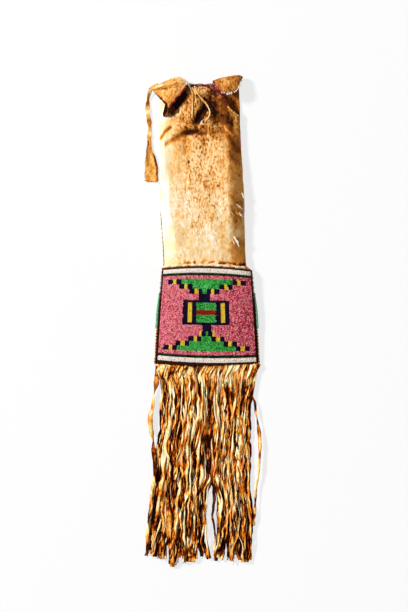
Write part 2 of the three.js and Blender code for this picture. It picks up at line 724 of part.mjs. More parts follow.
function scatter(strand, salt) {
  const value = Math.sin(strand * 12.9898 + salt * 78.233) * 43758.5453;
  return 2 * (value - Math.floor(value)) - 1;
}

function strandPath(root, index, count, salt, rootZ, lieZ) {
  const outermost = index === 0 ? -1 : index === count - 1 ? 1 : 0;
  const left = Math.max(0, -root / panelHalf(bodyBottom) - 0.4);
  const end = fringeLean - outerFlare * left * 2 + scatter(index, salt) * strandSway;
  const length = fringeLength + scatter(index, salt + 1) * endScatter;
  const phase = scatter(index, salt + 2) * Math.PI;
  const lie = lieZ + (index % 2) * strandThickness * 0.2;
  const startY = bodyBottom - seatGap - fringeHeading * 0.7;
  return stepped(0, 1, 6).map((share) => {
    const sway = strandSway * Math.sin(share * 8 + phase) * share;
    const bow = outermost * strayBow * Math.sin(share * Math.PI);
    const part = partSpread * Math.tanh((root - partPlace) / 10) * share * share;
    return new THREE.Vector3(
      root + end * share + sway + bow + part, startY - share * length,
      blend(rootZ, lie, Math.min(share * 6, 1)),
    );
  });
}

function fringe(count, salt, headingZ, lieZ) {
  const half = bodyHalf(bodyBottom) - headingInset;
  const heading = new THREE.BoxGeometry(half * 2, fringeHeading, headingThickness);
  const middle = headingZ + headingThickness / 2;
  heading.translate(0, bodyBottom - seatGap - fringeHeading / 2, middle);
  const roots = stepped(-half + strandWidth / 2, half - strandWidth / 2, count - 1);
  const strands = roots.map((root, index) => {
    const path = strandPath(root, index, count, salt, middle, lieZ);
    return strap(path, strandWidth, strandThickness, strandSteps);
  });
  return joined([solidOf(heading), ...strands]);
}
const backLie = strandThickness / 2 + seatGap;
const frontLie = backLie + strandThickness * 1.3 + seatGap;
addPiece("front_fringe", fringe(frontStrands, 3, pouchBottomDepth * 0.4, frontLie), fringeHide());
addPiece("back_fringe", fringe(backStrands, 7, seatGap, backLie), fringeHide());

export default bag;
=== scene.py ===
import math

import bmesh
import bpy
import numpy as np
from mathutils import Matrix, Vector, noise
from mathutils.bvhtree import BVHTree


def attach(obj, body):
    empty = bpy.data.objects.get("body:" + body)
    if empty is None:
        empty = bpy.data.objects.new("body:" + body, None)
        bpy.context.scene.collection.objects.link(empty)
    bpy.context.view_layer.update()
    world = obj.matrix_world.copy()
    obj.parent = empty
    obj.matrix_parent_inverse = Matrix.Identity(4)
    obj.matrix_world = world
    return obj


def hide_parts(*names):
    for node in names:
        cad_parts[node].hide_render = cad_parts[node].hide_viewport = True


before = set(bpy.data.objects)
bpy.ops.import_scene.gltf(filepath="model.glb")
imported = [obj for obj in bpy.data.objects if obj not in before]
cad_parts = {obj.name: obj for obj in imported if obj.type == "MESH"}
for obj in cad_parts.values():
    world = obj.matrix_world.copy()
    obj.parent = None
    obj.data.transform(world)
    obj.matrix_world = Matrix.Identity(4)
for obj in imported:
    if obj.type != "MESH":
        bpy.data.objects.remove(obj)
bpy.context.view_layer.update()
print("frame loaded:", len(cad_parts), "solids")


# Small tools

def blend(a, b, share):
    return a + (b - a) * share


def smooth(value, low, high):
    share = np.clip((value - low) / (high - low), 0.0, 1.0)
    return share * share * (3 - 2 * share)


def through(stations):  # a value that runs smoothly through a few stations
    at = np.array([station[0] for station in stations], float)
    value = np.array([station[1] for station in stations], float)
    number = np.arange(len(at))
    before = np.maximum(number - 1, 0)
    after = np.minimum(number + 1, len(at) - 1)
    slope = (value[after] - value[before]) / (at[after] - at[before])

    def along(x):
        x = np.clip(x, at[0], at[-1])
        i = np.clip(np.searchsorted(at, x, side="right") - 1, 0, len(at) - 2)
        span = at[i + 1] - at[i]
        t = (x - at[i]) / span
        held = (1 + 2 * t) * (1 - t) ** 2 * value[i] + t * t * (3 - 2 * t) * value[i + 1]
        turned = t * (1 - t) ** 2 * slope[i] * span - t * t * (1 - t) * slope[i + 1] * span
        return held + turned

    return along


def smoothPath(points, count):  # even steps along a rounded line through the points
    points = np.array(points, float)
    ends = np.vstack([2 * points[0] - points[1], points, 2 * points[-1] - points[-2]])
    steps = np.linspace(0, 1, 24, endpoint=False)[:, None]
    fine = []
    for i in range(len(points) - 1):
        a, b, c, d = ends[i:i + 4]
        bend = 2 * a - 5 * b + 4 * c - d
        swing = 3 * b - a - 3 * c + d
        fine.append(0.5 * (2 * b + (c - a) * steps + bend * steps ** 2 + swing * steps ** 3))
    fine = np.vstack(fine + [points[-1:]])
    run = np.r_[0, np.cumsum(np.linalg.norm(np.diff(fine, axis=0), axis=1))]
    at = np.linspace(0, run[-1], count)
    return np.stack([np.interp(at, run, fine[:, k]) for k in range(fine.shape[1])], axis=1)


def unit(vectors):
    return vectors / np.maximum(np.linalg.norm(vectors, axis=-1, keepdims=True), 1e-12)


def lumps(x, y, sizeX, sizeY, seed):  # soft random heights from -1 to 1
    pairs = zip(np.ravel(x), np.ravel(y))
    heights = [noise.noise((a / sizeX, b / sizeY, seed)) for a, b in pairs]
    return np.array(heights).reshape(np.shape(x))


def newBatch():
    return {"points": [], "faces": [], "tone": [], "hue": [], "count": 0}


def pour(batch, points, faces, tone, hue=0.5):
    start = batch["count"]
    batch["points"].append(np.asarray(points, float))
    batch["faces"] += [[start + i for i in face] for face in faces]
    batch["tone"].append(np.broadcast_to(np.asarray(tone, float), len(points)))
    batch["hue"].append(np.broadcast_to(np.asarray(hue, float), len(points)))
    batch["count"] += len(points)


def loft(batch, rings, tone=0.5):  # a closed body through rings of points
    rings = np.asarray(rings, float)
    count, around = rings.shape[:2]
    faces = []
    for i in range(count - 1):
        for j in range(around):
            k = (j + 1) % around
            low, high = i * around, (i + 1) * around
            faces.append((low + j, low + k, high + k, high + j))
    faces.append(tuple(reversed(range(around))))
    faces.append(tuple(range((count - 1) * around, count * around)))
    if np.ndim(tone) == 1:
        tone = np.repeat(tone, around)
    tone = np.ravel(tone) if np.ndim(tone) else tone
    pour(batch, rings.reshape(-1, 3), faces, tone)


ribbonSection = (  # across and up, in halves of the width and the thickness
    (-1, 0.3), (-0.55, 1), (0, 1), (0.55, 1), (1, 0.3),
    (1, -0.3), (0.55, -1), (0, -1), (-0.55, -1), (-1, -0.3),
)
ribbonAcross = np.array([across for across, height in ribbonSection], float)


def ribbonRings(path, width, thickness, turn=0.0, curl=0.0):  # a strip that twists about its own line
    path = np.asarray(path, float)
    along = unit(np.gradient(path, axis=0))
    up = np.broadcast_to((0.0, 0.0, 1.0), along.shape)
    side = unit(np.cross(along, up))
    up = np.cross(side, along)
    turn = np.broadcast_to(turn, len(path))[:, None]
    flat = side * np.cos(turn) + up * np.sin(turn)
    face = np.cross(flat, along)
    half = np.broadcast_to(width, len(path))[:, None] / 2
    deep = np.broadcast_to(thickness, len(path))[:, None] / 2
    rings = []
    for across, height in ribbonSection:
        cup = curl * half * (across * across - 0.4)
        rings.append(path + flat * half * across + face * (deep * height + cup))
    return np.stack(rings, axis=1)


def tubeRings(path, radius, sides=8):
    path = np.asarray(path, float)
    along = unit(np.gradient(path, axis=0))
    side = unit(np.cross(along, np.broadcast_to((0.13, 0.21, 0.97), along.shape)))
    up = np.cross(side, along)
    radius = np.broadcast_to(radius, len(path))[:, None]
    turns = [2 * math.pi * k / sides for k in range(sides)]
    return np.stack([path + radius * (side * math.cos(a) + up * math.sin(a)) for a in turns], axis=1)


def makePiece(name, batch, material, slotName, *nodes):
    mesh = bpy.data.meshes.new(name)
    mesh.from_pydata(np.vstack(batch["points"]).tolist(), [], batch["faces"])
    work = bmesh.new()
    work.from_mesh(mesh)
    bmesh.ops.recalc_face_normals(work, faces=work.faces)
    work.to_mesh(mesh)
    work.free()
    mesh.polygons.foreach_set("use_smooth", [True] * len(mesh.polygons))
    for layer in ("tone", "hue"):
        values = mesh.attributes.new(layer, "FLOAT", "POINT")
        values.data.foreach_set("value", np.concatenate(batch[layer]))
    mesh.materials.append(material)
    piece = bpy.data.objects.new(name, mesh)
    bpy.context.scene.collection.objects.link(piece)
    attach(piece, "root")
    if nodes:
        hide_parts(*nodes)
    print(name, len(mesh.vertices), "points", len(mesh.polygons), "faces")
    return piece


# Materials

class Nodes:  # short ways to add and join nodes in one tree
    def __init__(self, tree):
        self.tree = tree
        tree.nodes.clear()

    def add(self, kind, inputs=None, **values):
        node = self.tree.nodes.new(kind)
        for key, value in values.items():
            setattr(node, key, value)
        for key, value in (inputs or {}).items():
            if isinstance(value, bpy.types.NodeSocket):
                self.tree.links.new(value, node.inputs[key])
            else:
                node.inputs[key].default_value = value
        return node

    def math(self, operation, a, b=0.0, clamp=False):
        return self.add("ShaderNodeMath", {0: a, 1: b}, operation=operation, use_clamp=clamp).outputs[0]

    def mix(self, share, a, b):
        return self.add("ShaderNodeMix", {0: share, 6: a, 7: b}, data_type="RGBA").outputs[2]

    def band(self, value, low, high):  # 0 below low, 1 above high
        inputs = {"Value": value, "From Min": low, "From Max": high}
        return self.add("ShaderNodeMapRange", inputs, interpolation_type="SMOOTHSTEP").outputs[0]

    def attribute(self, name):
        return self.add("ShaderNodeAttribute", attribute_name=name).outputs["Fac"]

    def noise(self, place, scale, detail=3.0, roughness=0.55):
        inputs = {"Vector": place, "Scale": scale, "Detail": detail, "Roughness": roughness}
        return self.add("ShaderNodeTexNoise", inputs).outputs["Fac"]

    def stretched(self, place, scale):
        return self.add("ShaderNodeMapping", {"Vector": place, "Scale": scale}).outputs[0]


def newGroup(name, inputs, outputs):
    group = bpy.data.node_groups.new(name, "ShaderNodeTree")
    nodes = Nodes(group)
    for socket, kind, value in inputs:
        made = group.interface.new_socket(socket, in_out="INPUT", socket_type=kind)
        made.default_value = value
    for socket, kind in outputs:
        group.interface.new_socket(socket, in_out="OUTPUT", socket_type=kind)
    return group, nodes, nodes.add("NodeGroupInput").outputs, nodes.add("NodeGroupOutput").inputs


grainScales = {"broad": 24.0, "fleck": 330.0, "streak": 560.0, "height": 800.0}


def makeGrainGroup():  # suede grain and cloudy mottle of a tanned hide
    group, nodes, given, out = newGroup("hideGrain", [
        ("Fine Scale", "NodeSocketFloat", 330.0), ("Cloud Scale", "NodeSocketFloat", 85.0),
        ("Fleck Level", "NodeSocketFloat", 0.57),
    ], [
        ("Mottle", "NodeSocketFloat"), ("Fleck", "NodeSocketFloat"),
        ("Streak", "NodeSocketFloat"), ("Height", "NodeSocketFloat"),
    ])
    place = nodes.add("ShaderNodeTexCoord").outputs["Object"]
    upright = nodes.stretched(place, (1.0, 0.5, 1.0))
    fine = nodes.noise(upright, given["Fine Scale"], 2.0, 0.6)
    cloud = nodes.noise(upright, given["Cloud Scale"], 4.0, 0.6)
    broad = nodes.noise(place, grainScales["broad"], 3.0, 0.5)
    both = nodes.math("ADD", nodes.math("MULTIPLY", fine, 1.7), nodes.math("MULTIPLY", cloud, 1.2))
    both = nodes.math("ADD", both, nodes.math("MULTIPLY", broad, 0.5))
    fleckTop = nodes.math("ADD", given["Fleck Level"], 0.08)
    spots = nodes.noise(nodes.stretched(place, (1.0, 0.42, 1.0)), grainScales["fleck"], 1.5, 0.5)
    levels = {"Value": spots, "From Min": given["Fleck Level"], "From Max": fleckTop}
    fleck = nodes.add("ShaderNodeMapRange", levels).outputs[0]
    nodes.tree.links.new(nodes.math("SUBTRACT", both, 1.7), out["Mottle"])
    nodes.tree.links.new(fleck, out["Fleck"])
    streak = nodes.noise(nodes.stretched(place, (1.0, 0.07, 1.0)), grainScales["streak"], 2.0, 0.6)
    nodes.tree.links.new(nodes.math("SUBTRACT", streak, 0.5), out["Streak"])
    grain = nodes.noise(place, grainScales["height"], 3.0, 0.6)
    nodes.tree.links.new(nodes.math("ADD", grain, nodes.math("MULTIPLY", cloud, 0.8)), out["Height"])
    return group


def makeBeadGroup():  # glass that differs from bead to bead
    group, nodes, given, out = newGroup("beadGlass", [
        ("Dark", "NodeSocketColor", (0.2, 0.2, 0.2, 1)), ("Colour", "NodeSocketColor", (0.5, 0.5, 0.5, 1)),
        ("Light", "NodeSocketColor", (0.8, 0.8, 0.8, 1)), ("Other", "NodeSocketColor", (0.5, 0.5, 0.5, 1)),
    ], [("Color", "NodeSocketColor"), ("Roughness", "NodeSocketFloat")])
    tone = nodes.attribute("tone")
    hue = nodes.math("MULTIPLY", nodes.band(nodes.attribute("hue"), 0.5, 1.0), 0.75)
    usual = nodes.mix(hue, given["Colour"], given["Other"])
    low = nodes.mix(nodes.band(tone, 0.0, 0.5), given["Dark"], usual)
    colour = nodes.mix(nodes.band(tone, 0.5, 1.0), low, given["Light"])
    nodes.tree.links.new(colour, out["Color"])
    rough = nodes.add("ShaderNodeMapRange", {"Value": tone, "To Min": 0.5, "To Max": 0.3}).outputs[0]
    nodes.tree.links.new(rough, out["Roughness"])
    return group


grainGroup = makeGrainGroup()
beadGroup = makeBeadGroup()


def newMaterial(name):
    material = bpy.data.materials.new(name)
    material.use_nodes = True
    return material, Nodes(material.node_tree)


def surface(nodes, colour, roughness, height=None, bump=0.3, **sockets):
    shader = nodes.add("ShaderNodeBsdfPrincipled", {"Base Color": colour, "Roughness": roughness})
    for socket, value in sockets.items():
        shader.inputs[socket.replace("_", " ")].default_value = value
    if height is not None:
        relief = nodes.add("ShaderNodeBump", {"Height": height, "Strength": bump, "Distance": 0.0006})
        nodes.tree.links.new(relief.outputs[0], shader.inputs["Normal"])
    out = nodes.add("ShaderNodeOutputMaterial")
    nodes.tree.links.new(shader.outputs[0], out.inputs["Surface"])


hideFinish = [  # from dark, stained or in painted shade, to pale, bleached or in painted highlight
    (0.0, (0.018, 0.0040, 0.0010)), (0.25, (0.24, 0.062, 0.007)), (0.48, (0.66, 0.245, 0.040)),
    (0.58, (0.82, 0.365, 0.088)), (0.68, (0.88, 0.515, 0.182)), (0.84, (0.97, 0.74, 0.43)),
    (0.92, (1.0, 0.89, 0.69)), (1.0, (1.0, 0.98, 0.92)),
]
# a near-black maroon for painted shadow
hideMaroonShade = (0.022, 0.0045, 0.0045, 1)


def shadeRamp(nodes, value, stops):
    ramp = nodes.add("ShaderNodeValToRGB", {"Fac": value})
    ends = ramp.color_ramp.elements
    ends[0].position, ends[1].position = stops[0][0], stops[-1][0]
    ends[0].color, ends[1].color = (*stops[0][1], 1), (*stops[-1][1], 1)
    for position, colour in stops[1:-1]:
        ends.new(position).color = (*colour, 1)
    return ramp.outputs[0]


def makeHide():  # bag hide: each place has its own shade and its own strength of mottle
    material, nodes = newMaterial("smokedHide")
    grain = nodes.add("ShaderNodeGroup", node_tree=grainGroup).outputs
    mottle = nodes.math("MINIMUM", nodes.math("MULTIPLY", grain["Mottle"], nodes.attribute("mottle")), 0.10)
    fleck = nodes.math("MULTIPLY", grain["Fleck"], nodes.math("MULTIPLY", nodes.attribute("mottle"), 0.38))
    wearAndShade = nodes.math("SUBTRACT", nodes.math("ADD", nodes.attribute("shade"), mottle), fleck, clamp=True)
    # mixes in the maroon of the painted shadows
    colour = nodes.mix(nodes.attribute("maroonShade"), shadeRamp(nodes, wearAndShade, hideFinish), hideMaroonShade)
    rough = nodes.add("ShaderNodeMapRange", {"Value": wearAndShade, "To Min": 0.72, "To Max": 0.95}).outputs[0]
    surface(nodes, colour, rough, grain["Height"], 0.4, Specular_IOR_Level=0.06)
    return material


thongFinish = [  # from smoke brown to cream
    (0.0, (0.010, 0.0025, 0.001)), (0.25, (0.15, 0.042, 0.005)), (0.45, (0.50, 0.175, 0.013)),
    (0.62, (0.78, 0.40, 0.092)), (0.80, (0.95, 0.69, 0.35)), (1.0, (1.0, 0.96, 0.87)),
]
fringeFinish = [  # redder in the dark, warm to the end
    (0.0, (0.016, 0.0010, 0.0003)), (0.22, (0.31, 0.041, 0.002)), (0.40, (0.84, 0.205, 0.010)),
    (0.56, (1.0, 0.39, 0.040)), (0.76, (1.0, 0.55, 0.125)), (0.93, (1.0, 0.71, 0.25)),
    (1.0, (1.0, 0.91, 0.57)),
]


def makeThongHide(name, finish, strength, streaks):  # cut thongs: each strip has its own tone
    material, nodes = newMaterial(name)
    scales = {"Fine Scale": 420.0, "Cloud Scale": 110.0}
    grain = nodes.add("ShaderNodeGroup", scales, node_tree=grainGroup).outputs
    mottle = nodes.math("MULTIPLY", grain["Mottle"], strength)
    mottle = nodes.math("ADD", mottle, nodes.math("MULTIPLY", grain["Streak"], streaks))
    tone = nodes.math("ADD", nodes.attribute("tone"), mottle, clamp=True)
    rough = nodes.add("ShaderNodeMapRange", {"Value": tone, "To Min": 0.6, "To Max": 0.85}).outputs[0]
    surface(nodes, shadeRamp(nodes, tone, finish), rough, grain["Height"], 0.3, Specular_IOR_Level=0.04)
    return material


glassInputs = ("Dark", "Colour", "Light", "Other")
beadColours = {  # dark, usual, light and odd glass of each colour
    "pink": ((0.30, 0.022, 0.035), (0.96, 0.145, 0.185), (1.0, 0.42, 0.44), (0.80, 0.095, 0.30)),
    "green": ((0.008, 0.15, 0.018), (0.024, 0.42, 0.042), (0.14, 0.68, 0.20), (0.09, 0.44, 0.03)),
    "navy": ((0.0012, 0.0005, 0.0040), (0.005, 0.0022, 0.022), (0.020, 0.008, 0.070), (0.012, 0.002, 0.020)),
    "yellow": ((0.70, 0.30, 0.006), (1.0, 0.64, 0.018), (1.0, 0.82, 0.09), (0.95, 0.47, 0.010)),
    "red": ((0.12, 0.003, 0.003), (0.32, 0.008, 0.006), (0.50, 0.04, 0.02), (0.22, 0.005, 0.004)),
    "white": ((0.55, 0.32, 0.24), (1.0, 0.86, 0.74), (1.0, 0.95, 0.87), (0.95, 0.75, 0.63)),
    "darkGreen": (
        (0.0008, 0.004, 0.0018), (0.0025, 0.018, 0.006), (0.010, 0.08, 0.026), (0.002, 0.008, 0.004),
    ),
    "teal": ((0.0003, 0.024, 0.007), (0.001, 0.38, 0.105), (0.003, 0.72, 0.23), (0.001, 0.26, 0.08)),
    "rose": ((0.045, 0.003, 0.005), (0.40, 0.032, 0.044), (0.76, 0.20, 0.22), (0.20, 0.012, 0.020)),
}


def makeBeads(name):
    material, nodes = newMaterial(name + "Beads")
    inputs = {socket: (*colour, 1) for socket, colour in zip(glassInputs, beadColours[name])}
    glass = nodes.add("ShaderNodeGroup", inputs, node_tree=beadGroup)
    surface(nodes, glass.outputs["Color"], glass.outputs["Roughness"], Specular_IOR_Level=0.05)
    return material


threadFinish = {"dark": (0.008, 0.0012, 0.001, 1), "light": (0.060, 0.011, 0.007, 1)}


def makeThread():
    material, nodes = newMaterial("sinewThread")
    place = nodes.add("ShaderNodeTexCoord").outputs["Object"]
    fibre = nodes.noise(place, 900.0)
    colour = nodes.mix(fibre, threadFinish["dark"], threadFinish["light"])
    surface(nodes, colour, 0.8, fibre, 0.3, Specular_IOR_Level=0.04)
    return material


hideMaterial = makeHide()
fringeMaterial = makeThongHide("fringeHide", fringeFinish, 0.50, 1.5)
thongMaterial = makeThongHide("thongHide", thongFinish, 0.30, 0.2)
threadMaterial = makeThread()
beadMaterials = {name: makeBeads(name) for name in beadColours}
print("materials made:", len(bpy.data.materials))


# Shape of the bag, in metres, as its solids have it

bag = {
    "panelHeight": 0.1649, "panelTopWidth": 0.153, "panelBottomWidth": 0.1755, "panelTopCrown": 0.0045,
    "panelBottomCrown": 0.0035, "panelTilt": 0.0016, "bodyBorder": 0.0015, "hemBelowPanel": 0.003,
    "lipGroove": 0.0034, "neckLength": 0.3225, "neckSeamWidth": 0.145, "neckWidth": 0.148,
    "mouthWidth": 0.141, "neckSeamShift": -0.0035, "mouthShift": -0.0125, "gatherBelowRim": 0.077,
    "pouchBottomDepth": 0.013, "pouchDepth": 0.025, "seamDepth": 0.027, "neckDepth": 0.036,
    "gatherDepth": 0.025, "mouthDepth": 0.023, "floorRise": 0.0028, "sideShare": 0.36,
    "hideThickness": 0.002,
    "rimDrops": [(0, 0.028), (0.38, 0.007), (0.6, 0.006), (0.76, 0.020), (0.86, 0.041), (1, 0.057)],
}
panelTop = bag["panelHeight"] / 2
panelMiddleHalf = (bag["panelTopWidth"] + bag["panelBottomWidth"]) / 4
bodyBottom = -panelTop - bag["hemBelowPanel"]
shoulder = panelTop - bag["hemBelowPanel"]
neckStart = panelTop + bag["lipGroove"] / 2
backRim = panelTop + bag["neckLength"]
gatherLine = backRim - bag["gatherBelowRim"]
neckMiddle = (neckStart + gatherLine) / 2
mouthShift = bag["mouthShift"]


def panelHalf(y):
    return blend(bag["panelBottomWidth"], bag["panelTopWidth"], y / bag["panelHeight"] + 0.5) / 2


def onPanel(x, y):  # where a point of the flat design lies on the bag, seen from above
    across = x / panelMiddleHalf
    crown = blend(-bag["panelBottomCrown"], bag["panelTopCrown"], y / bag["panelHeight"] + 0.5)
    return across * panelHalf(y), y - crown * across * across - bag["panelTilt"] * across


bodyHalf = through([
    (bodyBottom, panelHalf(-panelTop) + bag["bodyBorder"]),
    (panelTop - bag["panelTopCrown"] + bag["panelTilt"] + 0.001, panelHalf(panelTop) + bag["bodyBorder"]),
    (neckStart + 0.004, bag["neckSeamWidth"] / 2), (neckMiddle, bag["neckWidth"] / 2),
    (gatherLine, bag["mouthWidth"] / 2), (backRim, bag["mouthWidth"] / 2),
])
bodyShift = through([
    (shoulder, 0), (neckStart, bag["neckSeamShift"]), (gatherLine, mouthShift), (backRim, mouthShift),
])
bodyDepth = through([
    (bodyBottom, bag["pouchBottomDepth"]), (0, bag["pouchDepth"]), (panelTop, bag["seamDepth"]),
    (neckMiddle, bag["neckDepth"]), (gatherLine, bag["gatherDepth"]), (backRim, bag["mouthDepth"]),
])
rimDrop = through(bag["rimDrops"])

neckForm = {  # the slopes at both sides are shares of the half width, at places along the neck
    "leftSlope": [(0.085, 0.36), (0.115, 0.34), (0.158, 0.25), (0.202, 0.17), (0.24, 0.12), (0.30, 0.11)],
    "rightSlope": [(0.085, 0.36), (0.2, 0.32), (0.3, 0.30)],
    "edgePower": 0.72, "corner": 0.16, "round": 2.8,
}
leftSlope = through(neckForm["leftSlope"])
rightSlope = through(neckForm["rightSlope"])


def bodyFloor(y):
    return bag["floorRise"] * (1 - smooth(y, panelTop + 0.002, panelTop + 0.030))


def bodySide(y):
    return blend(bodyFloor(y), bodyDepth(y), bag["sideShare"])


def frontRise(side, y):  # height of the front over its side, from 0 at the edges to 1
    away = np.clip(np.abs(side), 0, 1)
    rounded = np.sqrt(1 - away ** neckForm["round"])
    slope = np.where(side < 0, leftSlope(y), rightSlope(y))
    ramp = ((1 - away) / slope) ** neckForm["edgePower"]
    near = np.clip(0.5 + 0.5 * (1 - ramp) / neckForm["corner"], 0, 1)
    sloped = blend(1.0, ramp, near) - neckForm["corner"] * near * (1 - near)
    overHem = smooth(y, panelTop + 0.006, panelTop + 0.034)
    underGather = 1 - smooth(y, gatherLine - 0.03, gatherLine + 0.006)
    return blend(rounded, sloped, overHem * underGather)


def frontZ(x, y):  # the front of the hide without its creases
    side = np.clip((x - bodyShift(y)) / bodyHalf(y), -1, 1)
    return bodySide(y) + (bodyDepth(y) - bodySide(y)) * frontRise(side, y)


def overFront(x, y, lift=0.0):
    return np.stack(np.broadcast_arrays(x, y, frontZ(np.asarray(x), np.asarray(y)) + lift), axis=-1)


# Camera, light and floor

view = {"middle": (-0.00525, 0.0166), "height": 5.0, "tall": 1.071, "sensor": 36.0, "midDepth": 0.02}


def makeCamera():
    lens = bpy.data.cameras.new("viewFromAbove")
    lens.sensor_width = view["sensor"]
    lens.lens = view["sensor"] * (view["height"] - view["midDepth"]) / view["tall"]
    lens.clip_end = 50
    camera = bpy.data.objects.new("viewFromAbove", lens)
    camera.location = (*view["middle"], view["height"])
    bpy.context.scene.collection.objects.link(camera)
    bpy.context.scene.camera = camera


studio = {
    "key": (-5.6, 2.5, 5.3), "keySize": 1.3, "keyLevel": 1.18, "fill": 0.27,
    "floorGlow": 0.76, "floorReach": 6.0, "floorDrop": 0.0003,
}


def seenByCamera(nodes):  # 1 for what the camera sees, also in a gloss or through glass
    path = nodes.add("ShaderNodeLightPath").outputs
    seen = nodes.math("MAXIMUM", path["Is Camera Ray"], path["Is Glossy Ray"])
    return nodes.math("MAXIMUM", seen, path["Is Transmission Ray"])


def makeLight():
    lamp = bpy.data.lights.new("key", "AREA")
    lamp.shape = "DISK"
    lamp.size = studio["keySize"]
    away = Vector(studio["key"]).length
    lamp.energy = studio["keyLevel"] * math.pi ** 2 * away ** 2
    key = bpy.data.objects.new("key", lamp)
    key.location = studio["key"]
    key.rotation_euler = (-Vector(studio["key"])).to_track_quat("-Z", "Y").to_euler()
    bpy.context.scene.collection.objects.link(key)
    world = bpy.data.worlds.new("studio")
    bpy.context.scene.world = world
    world.use_nodes = True
    nodes = Nodes(world.node_tree)
    levels = {"Value": seenByCamera(nodes), "To Min": studio["fill"], "To Max": 1.0}
    strength = nodes.add("ShaderNodeMapRange", levels)
    sky = nodes.add("ShaderNodeBackground", {"Color": (1, 1, 1, 1), "Strength": strength.outputs[0]})
    nodes.tree.links.new(sky.outputs[0], nodes.add("ShaderNodeOutputWorld").inputs[0])


def makeFloor():
    mesh = bpy.data.meshes.new("floor")
    reach = studio["floorReach"]
    turns = ((-1, -1), (1, -1), (1, 1), (-1, 1))
    corners = [(x * reach, y * reach, -studio["floorDrop"]) for x, y in turns]
    mesh.from_pydata(corners, [], [(0, 1, 2, 3)])
    floor = bpy.data.objects.new("floor", mesh)
    bpy.context.scene.collection.objects.link(floor)
    material, nodes = newMaterial("paleFloor")
    share = nodes.math("MULTIPLY", seenByCamera(nodes), studio["floorGlow"])
    matt = nodes.add("ShaderNodeBsdfDiffuse", {"Color": (0.9, 0.9, 0.9, 1)})
    glow = nodes.add("ShaderNodeEmission", {"Color": (1, 1, 1, 1), "Strength": 1.0})
    both = nodes.add("ShaderNodeMixShader", {0: share, 1: matt.outputs[0], 2: glow.outputs[0]})
    nodes.tree.links.new(both.outputs[0], nodes.add("ShaderNodeOutputMaterial").inputs["Surface"])
    mesh.materials.append(material)


bpy.context.scene.view_settings.view_transform = "Standard"
makeCamera()
makeLight()
makeFloor()
print("camera, light and floor made")


# Drawstring tail and its tab: the route is the solids' own, from the left corner of the mouth

leftCorner = np.array((mouthShift - bag["mouthWidth"] / 2, backRim, 0.0))
rightCorner = np.array((mouthShift + bag["mouthWidth"] / 2, backRim, 0.0))

tail = {
    "width": 0.006, "spread": 1.22, "thickness": 0.0016, "steps": 64,
    "route": [
        (-0.0162, -0.0085, 0.0095), (-0.0188, -0.016, 0.007), (-0.021, -0.028, 0.003),
        (-0.0215, -0.039, 0.0011), (-0.0205, -0.052, 0.0011), (-0.0185, -0.065, 0.0011),
        (-0.0176, -0.077, 0.0011), (-0.0182, -0.089, 0.0011), (-0.0185, -0.101, 0.0011),
    ],
    "turns": [(0, 0.1), (0.2, 0.9), (0.45, -0.5), (0.7, 0.55), (0.88, -0.25), (1, 0.0)],  # its slow twist
}
tab = {
    "length": 0.0715, "thickness": 0.0022, "rows": 44, "columns": 22, "lift": 0.0010, "overTail": 0.0025,
    "rightCurl": 0.0042, "leftCurl": 0.0026, "ripple": 0.0005,
    "width": [(0, 0.007), (0.25, 0.0115), (0.5, 0.0205), (0.75, 0.0235), (1, 0.0238)],
    "middle": [(0, 0.0), (0.25, 0.0008), (0.5, 0.0030), (0.75, 0.0040), (1, 0.0038)],
}
tabWidth = through(tab["width"])
tabMiddle = through(tab["middle"])


def makeTail():
    route = np.array(tail["route"]) + leftCorner
    path = smoothPath(route, tail["steps"])
    share = np.linspace(0, 1, tail["steps"])
    turn = through(tail["turns"])(share)
    wide = tail["width"] * tail["spread"] * (1 + 0.12 * np.sin(share * 23) + 0.06 * np.sin(share * 51 + 1))
    path[:, 2] = np.maximum(path[:, 2], tail["thickness"] / 2 + (np.abs(np.sin(turn)) + 0.15) * wide / 2)
    tone = 0.62 + 0.16 * np.sin(share * 17 + 0.6) + 0.06 * np.sin(share * 61)
    batch = newBatch()
    loft(batch, ribbonRings(path, wide, tail["thickness"], turn, 0.22), tone)
    piece = makePiece("drawstringTail", batch, thongMaterial, "hide", "drawstring_tail")
    length = float(np.linalg.norm(np.diff(path, axis=0), axis=1).sum())
    return piece, path, length


def makeTab(top):
    batch = newBatch()
    rings = []
    tones = []
    for share in np.linspace(0, 1, tab["rows"]):
        side = np.linspace(-1, 1, tab["columns"])
        half = tabWidth(share) / 2
        x = top[0] + tabMiddle(share) + side * half + 0.0004 * math.sin(share * 21)
        y = top[1] + tab["overTail"] - share * tab["length"] + 0.0011 * np.sin(side * 6 + 1) * share
        fold = tab["rightCurl"] * share * np.exp(-((side - 0.62) / 0.24) ** 2)
        fold = fold + tab["leftCurl"] * np.exp(-((side + 0.7) / 0.3) ** 2) * (1 - share)
        z = tab["lift"] + tab["thickness"] + fold + tab["ripple"] * np.sin(side * 5 + share * 12)
        upper = np.stack([x, np.broadcast_to(y, x.shape), z], axis=1)
        lower = upper - (0, 0, tab["thickness"])
        rings.append(np.vstack([upper, lower[::-1]]))
        tone = 0.55 + 0.10 * np.sin(side * 7 + share * 19) * np.cos(share * 31 + side * 3)
        midway = smooth(share, 0.25, 0.4) * (1 - smooth(share, 0.75, 0.9))
        # the turned-down right fold painted darker: painted shade
        tone = tone - 0.36 * smooth(side, 0.55, 0.8) * midway
        tone = tone - 0.25 * (1 - smooth(side, -0.8, -0.4)) * (1 - smooth(share, 0.3, 0.5))
        tones.append(np.r_[tone, tone[::-1]])
    loft(batch, rings)
    batch["tone"] = [np.concatenate(tones)]
    return makePiece("drawstringTab", batch, thongMaterial, "hide", "drawstring_tab")


tailPiece, tailPath, tailLength = makeTail()
tabPiece = makeTab(tailPath[-1])
print("drawstring tail", round(tailLength * 1000), "mm")


# Hide bag

